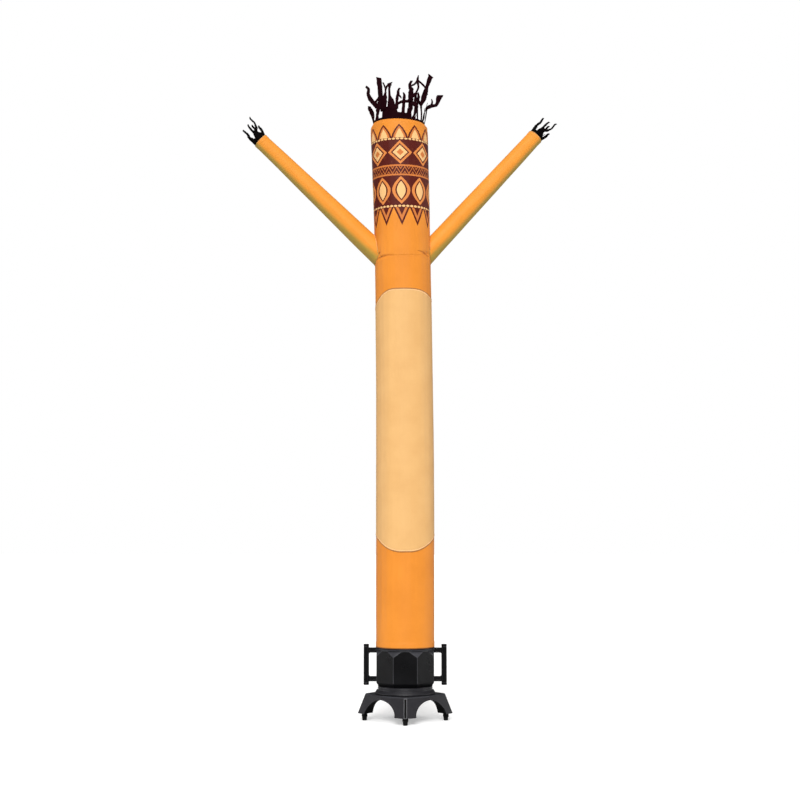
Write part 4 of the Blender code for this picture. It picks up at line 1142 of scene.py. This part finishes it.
sleeve_pieces = {}
for arm in ARMS:
    side, length = arm[0], arm[4]
    azimuths = [360 * k / SLEEVE_COLUMNS for k in range(SLEEVE_COLUMNS)]
    starts = [sleeve_start(arm, around) for around in azimuths]

    def sleeve_place(s, level):
        first = starts[round(s * SLEEVE_COLUMNS) % SLEEVE_COLUMNS]
        distance = first + (length - first) * level / length
        offset = fold(length - distance, CUFF_HEM, CUFF_FOLD)
        return sleeve_point(arm, 360 * s, distance, offset)[0], (s * 2 * math.pi * arm[5], distance)

    def round_root(past):
        """Places round the sleeve, this far past the line where it comes out of the body."""
        ring = zip(azimuths + [360], starts + starts[:1])
        return [sleeve_point(arm, around, start + past) for around, start in ring]

    bm = cloth(SLEEVE_COLUMNS, levels_between(0.0, length, SLEEVE_ROW, 0.032), sleeve_place)
    bm.faces.ensure_lookup_table()
    middle = bm.faces[len(bm.faces) // 2]
    root, along, _, _ = arm_frame(arm)
    spoke = middle.calc_center_median() - root
    if (spoke - along * spoke.dot(along)).dot(middle.normal) < 0:
        bmesh.ops.reverse_faces(bm, faces=bm.faces)
    sleeve = piece(f"sleeve_cloth_{side}", bm, sleeve_nylon, sharp=CLOTH_SHARP)
    mark_underside(sleeve, arm, UNDERSIDE_ONSET)
    thickened(sleeve, WALL)
    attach(sleeve, "root")
    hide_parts(f"arm_{side}")
    seam_tape = tape(f"sleeve_seam_{side}", round_root(0.0015), *ARMHOLE_TAPE, armhole_tapes[side])
    mark_underside(seam_tape, arm, TAPE_ONSET)
    cuff_line = [sleeve_point(arm, 360 * k / 96, length - 0.0016, CUFF_FOLD) for k in range(97)]
    cuff_tape = tape(f"cuff_binding_{side}", cuff_line, *CUFF_TAPE, armhole_tapes["left"])
    mark_underside(cuff_tape, arm, UNDERSIDE_ONSET)
    rows = [[sleeve_point(arm, 3 * k, length - at, CUFF_FOLD) for k in range(121)] for at in (0.0045, 0.018)]
    rows += [round_root(0.009), [sleeve_point(arm, 180, 0.08 + 0.01 * k) for k in range(78)]]
    stitches = sewn(f"sleeve_stitching_{side}", rows, *STITCH, orange_thread)
    for trim in (seam_tape, cuff_tape, stitches):
        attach(trim, "root")
    sleeve_pieces[side] = (sleeve, [seam_tape, cuff_tape, stitches])

# ---------------- hair fringe
# Black nylon cut into strips with scissors, each cut free hand and left raw, standing in the
# air stream. The uncut foot of the cloth is a ring sewn inside the open top edge.

FRINGE_GAP, FRINGE_THICK = 0.0003, 0.0011
STRIP_FOOT = 0.004
TURN_RATE = 1.6             # a strip leaves the ring face on, and has turned to the front by 1 / 1.6
RAGGED = 0.42               # how far a cut edge wanders, per half width
FULLER = 1.2                # the strips are cut this much wider than the outlines below
HAIR_RING_LOW, HAIR_RING_ABOVE, HAIR_RING_IN = 3.205, 0.014, 0.0014
HAIR_BAND = (               # uncut part of the hair: from azimuth, to azimuth, height over the edge
    (-39, -3, 0.070),
    (-3, 19, 0.038),
    (19, 30, 0.062),
)
HAIR = (                    # azimuth, seed, then points: sideways, height over the top edge, width (mm)
    (-84, 0, ((-142, 8, 26), (-145, 41, 23), (-153, 70, 19), (-163, 90, 18), (-167, 104, 11))),
    (-61.5, 1, ((-123, 8, 27), (-116, 39, 21), (-112, 79, 23), (-133, 101, 22), (-155, 127, 20),
                (-168, 158, 16), (-166, 184, 13), (-182, 199, 10))),
    (-36.5, 3, ((-84, 60, 32), (-80, 104, 30), (-73, 150, 10), (-73, 175, 8), (-86, 208, 6))),
    (-17, 4, ((-41, 60, 36), (-43, 98, 31), (-50, 126, 13), (-52, 168, 10), (-50, 187, 16),
              (-50, 201, 24))),
    (-5, 5, ((-13, 60, 16), (-11, 108, 13), (-5, 140, 14), (-3, 160, 10), (6, 171, 8))),
    (9.5, 6, ((23, 30, 16), (27, 101, 14), (30, 131, 12), (24, 148, 5))),
    (25.5, 7, ((62, 50, 20), (68, 91, 25), (65, 130, 22), (69, 164, 22), (61, 195, 13), (73, 218, 10))),
    (35.5, 8, ((82, 8, 10), (91, 68, 12), (91, 118, 14), (96, 154, 9), (108, 185, 9), (103, 221, 12),
               (108, 252, 4))),
    (46.5, 9, ((102, 8, 9), (101, 90, 9), (108, 135, 13), (106, 163, 4))),
    (60.5, 12, ((123, 8, 12), (124, 58, 10), (123, 97, 11), (135, 133, 24), (146, 170, 24),
                (155, 204, 16), (176, 266, 25))),
    (85, 11, ((141, 8, 19), (150, 65, 13), (152, 95, 14), (174, 110, 18), (206, 117, 15),
              (217, 142, 20), (229, 174, 27))),
)
HAIR_SNIPS = (              # side cuts: place in HAIR of the strip they leave, then points as there
    (0, ((-148, 50, 8), (-157, 59, 7), (-164, 70, 4))),
    (1, ((-131, 100, 12), (-120, 122, 11), (-103, 134, 12))),
    (2, ((-73, 164, 8), (-66, 183, 9), (-57, 200, 8))),
    (4, ((-5, 132, 10), (6, 125, 9), (13, 112, 4))),
    (5, ((-9, 84, 14), (12, 95, 13), (27, 100, 12))),
    (5, ((28, 98, 13), (46, 98, 13), (64, 112, 14))),
    (6, ((65, 124, 20), (82, 136, 18), (101, 150, 12))),
    (6, ((68, 96, 22), (84, 86, 18), (99, 74, 12))),
    (9, ((124, 96, 13), (112, 116, 13), (99, 132, 12))),
    (7, ((102, 221, 9), (86, 202, 9), (70, 194, 8))),
    (7, ((103, 226, 8), (124, 207, 9), (146, 184, 9))),
    (10, ((174, 108, 11), (184, 129, 9), (181, 152, 4))),
    (10, ((214, 130, 14), (212, 152, 12), (211, 170, 5))),
    (1, ((-116, 62, 18), (-108, 88, 20), (-101, 120, 23), (-102, 170, 22), (-110, 250, 24))),
)
BACK_HAIR = (104, 256, 11)  # first and last azimuth of the strips behind, and how many
BACK_HAIR_HEIGHT = (0.085, 0.145)
BACK_SHAPE = (0.16, 0.13, 0.15)         # width at the foot, sway and outward bend, per length


def along_curve(values, share):
    """A smooth curve through the values (numbers or vectors), at a share of its length."""
    place = share * (len(values) - 1)
    k = min(int(place), len(values) - 2)
    t = place - k
    before, after = values[max(k - 1, 0)], values[min(k + 2, len(values) - 1)]
    a, b = values[k], values[k + 1]
    slope_a, slope_b = (b - before) * 0.4, (after - a) * 0.4
    t2, t3 = t * t, t * t * t
    return (
        a * (2 * t3 - 3 * t2 + 1) + slope_a * (t3 - 2 * t2 + t)
        + b * (3 * t2 - 2 * t3) + slope_b * (t3 - t2)
    )


def ribbon(bm, points, widths, facings, seed):
    """A flat strip with a ragged cut edge, three cells across, laid along its points."""
    length = sum((b - a).length for a, b in zip(points, points[1:]))
    uv, spots = grid(bm, 3, max(round(length / 0.005), 6))
    for v, s, share in spots:
        side = 2 * s - 1
        ahead, behind = (along_curve(points, at) for at in (min(share + 0.01, 1), max(share - 0.01, 0)))
        along = (ahead - behind).normalized()
        facing = along_curve(facings, share).normalized()
        across = along.cross(facing).normalized()
        place = Vector((seed, length * share * 110, side * 3))
        ragged = 1 + RAGGED * noise.noise(place) * min(share * 8, 1)
        half = FULLER * max(along_curve(widths, share), 0.003) / 2 * ragged
        curl = 0.0030 * min(share * 5, 1) * noise.noise(Vector((seed * 3, length * share * 22, side)))
        cup = 0.10 * half * (side * side - 0.5) * (1 if seed % 2 else -1)
        slant = 0.35 * half * side * (share**8) * (1 if seed % 3 else -1)
        point = along_curve(points, share) + across * side * half + facing * (curl + cup) + along * slant
        put(v, uv, point, (side * half + seed * 0.07, length * share))


def drawn(axes, start, outline):
    """Places and widths of a strip's points. axes are its origin, across, along and facing.

    The origin is where start lies, a point of the same kind as the outline's.
    """
    origin, across, along, _ = axes
    points = [origin + (across * (x - start[0]) + along * (h - start[1])) / 1000 for x, h, _ in outline]
    return points, [width / 1000 for _, _, width in outline]


def front_strip(bm, axes, facing, outline, seed):
    """A strip of the outline, which faces as its ring does at the foot and the front further on."""
    points, widths = drawn(axes, outline[0], outline)
    foot = points[0] - axes[2].normalized() * STRIP_FOOT
    turns = [ease(TURN_RATE * k / (len(outline) - 1)) for k in range(len(outline))]
    facings = [facing.lerp(axes[3], turned).normalized() for turned in turns]
    ribbon(bm, [foot] + points, widths[:1] + widths, facings[:1] + facings, seed)


def snips(bm, cuts, frames, strips, seed):
    """The side cuts, each drawn in the axes of the strip that it leaves."""
    for k, (index, outline) in enumerate(cuts):
        points, widths = drawn(frames[index], strips[index][-1][0], outline)
        ribbon(bm, points, widths, [frames[index][3]] * len(points), seed + k)


def back_strip(bm, index, root, along, facing, length, seed):
    """A strip on the far side: it stands out of its ring with a bend of its own."""
    wide, sway, bend = (share * length for share in BACK_SHAPE)
    tangent = along.cross(facing)
    points, widths = [], []
    for share in (0.0, 0.2, 0.5, 0.75, 1.0):
        side = sway * (math.sin(4.1 * share + 2.3 * index) - math.sin(2.3 * index))
        points.append(root + along * length * share + tangent * side + facing * bend * share**2)
        widths.append(wide * (1 - 0.75 * share))
    ribbon(bm, points, widths, [facing] * len(points), seed)


def hair_band(azimuth):
    """Height of the fringe's uncut part over the top edge."""
    return next((high for first, last, high in HAIR_BAND if first <= azimuth <= last), HAIR_RING_ABOVE)


def hair_ring_point(azimuth, height):
    """A place on the fringe's ring: it lines the top edge and goes on straight above it."""
    edge = min(height, rim_height(azimuth))
    inset = -HAIR_RING_IN - WALL - FRINGE_GAP
    return body_point(azimuth, edge, inset) + Vector((0, 0, height - edge))


# Thin black nylon with a wine-red cast. The raw edges fray, and the creases catch a dull light.
black_nylon = coated_nylon("black_cut_nylon_fringe", "#1c0308", "#120205", "#240a12", 0.65, 0.0, 0.02)

bm = bmesh.new()
uv, spots = grid(bm, 240, 16)
for v, s, share in spots:
    azimuth = 360 * (s - 0.5)
    top = rim_height(azimuth) + hair_band(azimuth)
    top += 0.006 * noise.noise(Vector((azimuth * 0.16, 2, 0)))
    height = HAIR_RING_LOW + (top - HAIR_RING_LOW) * share
    lean = 0.004 * share * noise.noise(Vector((azimuth * 0.05, 5, 0))) if share > 0.4 else 0.0
    put(v, uv, hair_ring_point(azimuth, height) - outward(azimuth) * max(lean, 0.0), (azimuth / 360, height))
bmesh.ops.remove_doubles(bm, verts=bm.verts, dist=1e-5)
frames = []
for azimuth, seed, outline in HAIR:
    origin = hair_ring_point(azimuth, rim_height(azimuth) + outline[0][1] / 1000)
    frames.append((origin, Vector((1, 0, 0)), Vector((0, 0, 1)), Vector((0, -1, 0))))
    front_strip(bm, frames[-1], outward(azimuth), outline, seed)
snips(bm, HAIR_SNIPS, frames, HAIR, 20)
first, last, count = BACK_HAIR
low, high = BACK_HAIR_HEIGHT
for k in range(count):
    azimuth = first + (last - first) * k / (count - 1)
    origin = hair_ring_point(azimuth, rim_height(azimuth) + HAIR_RING_ABOVE - 2 * STRIP_FOOT)
    length = low + (high - low) * (0.5 + 0.5 * math.sin(2.4 * k + 0.7))
    back_strip(bm, k, origin, Vector((0, 0, 1)), outward(azimuth), length, 40 + k)
hair = piece("hair_fringe_cloth", bm, black_nylon, sharp=60)
thickened(hair, FRINGE_THICK, 0.0)
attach(hair, "root")
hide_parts("hair_fringe")

# ---------------- hand fringes
# The same black nylon, cut into strips and sewn as a narrow ring inside each cuff. The air that
# leaves the sleeve keeps the fingers straight.

HAND_RING_DEPTH, HAND_RING_IN = 0.020, 0.0012   # how far the ring lies into the sleeve and off it
HAND = (                    # azimuth round the cuff, then points: across the sleeve, out of it, width (mm)
    (27, ((33, 9, 17), (37, 22, 14), (43, 40, 12), (44, 53, 10), (50, 63, 6))),
    (80, ((7, 8, 34), (6, 28, 32), (7, 46, 25), (3, 60, 10), (5, 76, 10), (8, 92, 8), (14, 104, 6))),
    (143, ((-30, 8, 24), (-31, 28, 22), (-32, 42, 13), (-29, 56, 11), (-24, 70, 11), (-25, 88, 9),
           (-25, 104, 7))),
)
HAND_SNIPS = (              # side cuts: place in HAND of the strip they leave, then points as there
    (1, ((12, 44, 14), (22, 52, 13), (31, 58, 12), (36, 68, 9), (43, 80, 8), (46, 92, 8),
         (46, 114, 8), (53, 126, 4))),
    (1, ((16, 48, 12), (21, 62, 10), (23, 78, 9), (27, 87, 4))),
)
BACK_HAND = ((224, 52), (276, 48), (322, 50))   # azimuth and length (mm) of the strips on the far side
HAND_BACKWARD = 0.25        # the front strips lean this much per length towards the sleeve's axis
HANDS = {                   # turn of the pattern round the arm, stretch, slant, uncut length past the cuff
    "left": (0, 1.07, 0.0, 0.027),
    "right": (180, 1.13, 0.10, 0.021),
}
# The hands' nylon is a plain black, without the hair's wine-red cast.
jet_nylon = coated_nylon("jet_black_cut_nylon_fringe", "#050304", "#030202", "#0a0708", 0.65, 0.0, 0.02)

for arm in ARMS:
    side, length = arm[0], arm[4]
    turn, stretch, slant, uncut = HANDS[side]
    along = arm_frame(arm)[1]

    def hand_ring_point(around, distance):
        """The ring lines the cuff and goes on straight past it."""
        held, _ = sleeve_point(arm, around, min(distance, length), -WALL - FRINGE_GAP - HAND_RING_IN)
        return held + along * max(0.0, distance - length)

    def way(around):
        """Direction from the sleeve's axis towards this azimuth round it."""
        return (hand_ring_point(around, length) - hand_ring_point(around + 180, length)).normalized()

    bm = bmesh.new()
    uv, spots = grid(bm, 72, 8)
    for v, s, share in spots:
        around = 360 * (s - 0.5)
        out = uncut + 0.003 * noise.noise(Vector((around * 0.09, 8, 0)))
        distance = length - HAND_RING_DEPTH + (HAND_RING_DEPTH + out) * share
        put(v, uv, hand_ring_point(around, distance), (around / 1400, distance))
    bmesh.ops.remove_doubles(bm, verts=bm.verts, dist=1e-5)
    across, front = way(turn), way(turn + 90)
    outwards = (along - across * slant - front * HAND_BACKWARD) * stretch
    frames = []
    for k, (around, outline) in enumerate(HAND):
        origin = hand_ring_point(around + turn, length + outline[0][1] / 1000)
        frames.append((origin, across, outwards, front))
        front_strip(bm, frames[-1], way(around + turn), outline, 60 + k)
    snips(bm, HAND_SNIPS, frames, HAND, 70)
    for k, (around, reach) in enumerate(BACK_HAND):
        origin = hand_ring_point(around + turn, length + uncut - STRIP_FOOT)
        back_strip(bm, k, origin, along, way(around + turn), reach / 1000, 80 + k)
    hand = piece(f"hand_fringe_cloth_{side}", bm, jet_nylon, sharp=60)
    thickened(hand, FRINGE_THICK, 0.0)
    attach(hand, "root")
    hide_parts(f"hand_fringe_{side}")
    sleeve, trims = sleeve_pieces[side]

# ---------------- size
# The box of the CAD and the box of what is shown, so that the two can be compared.

boxes = {"cad": cad_box, "visual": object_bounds()}
{name: [list(corner) for corner in box] for name, box in boxes.items()}
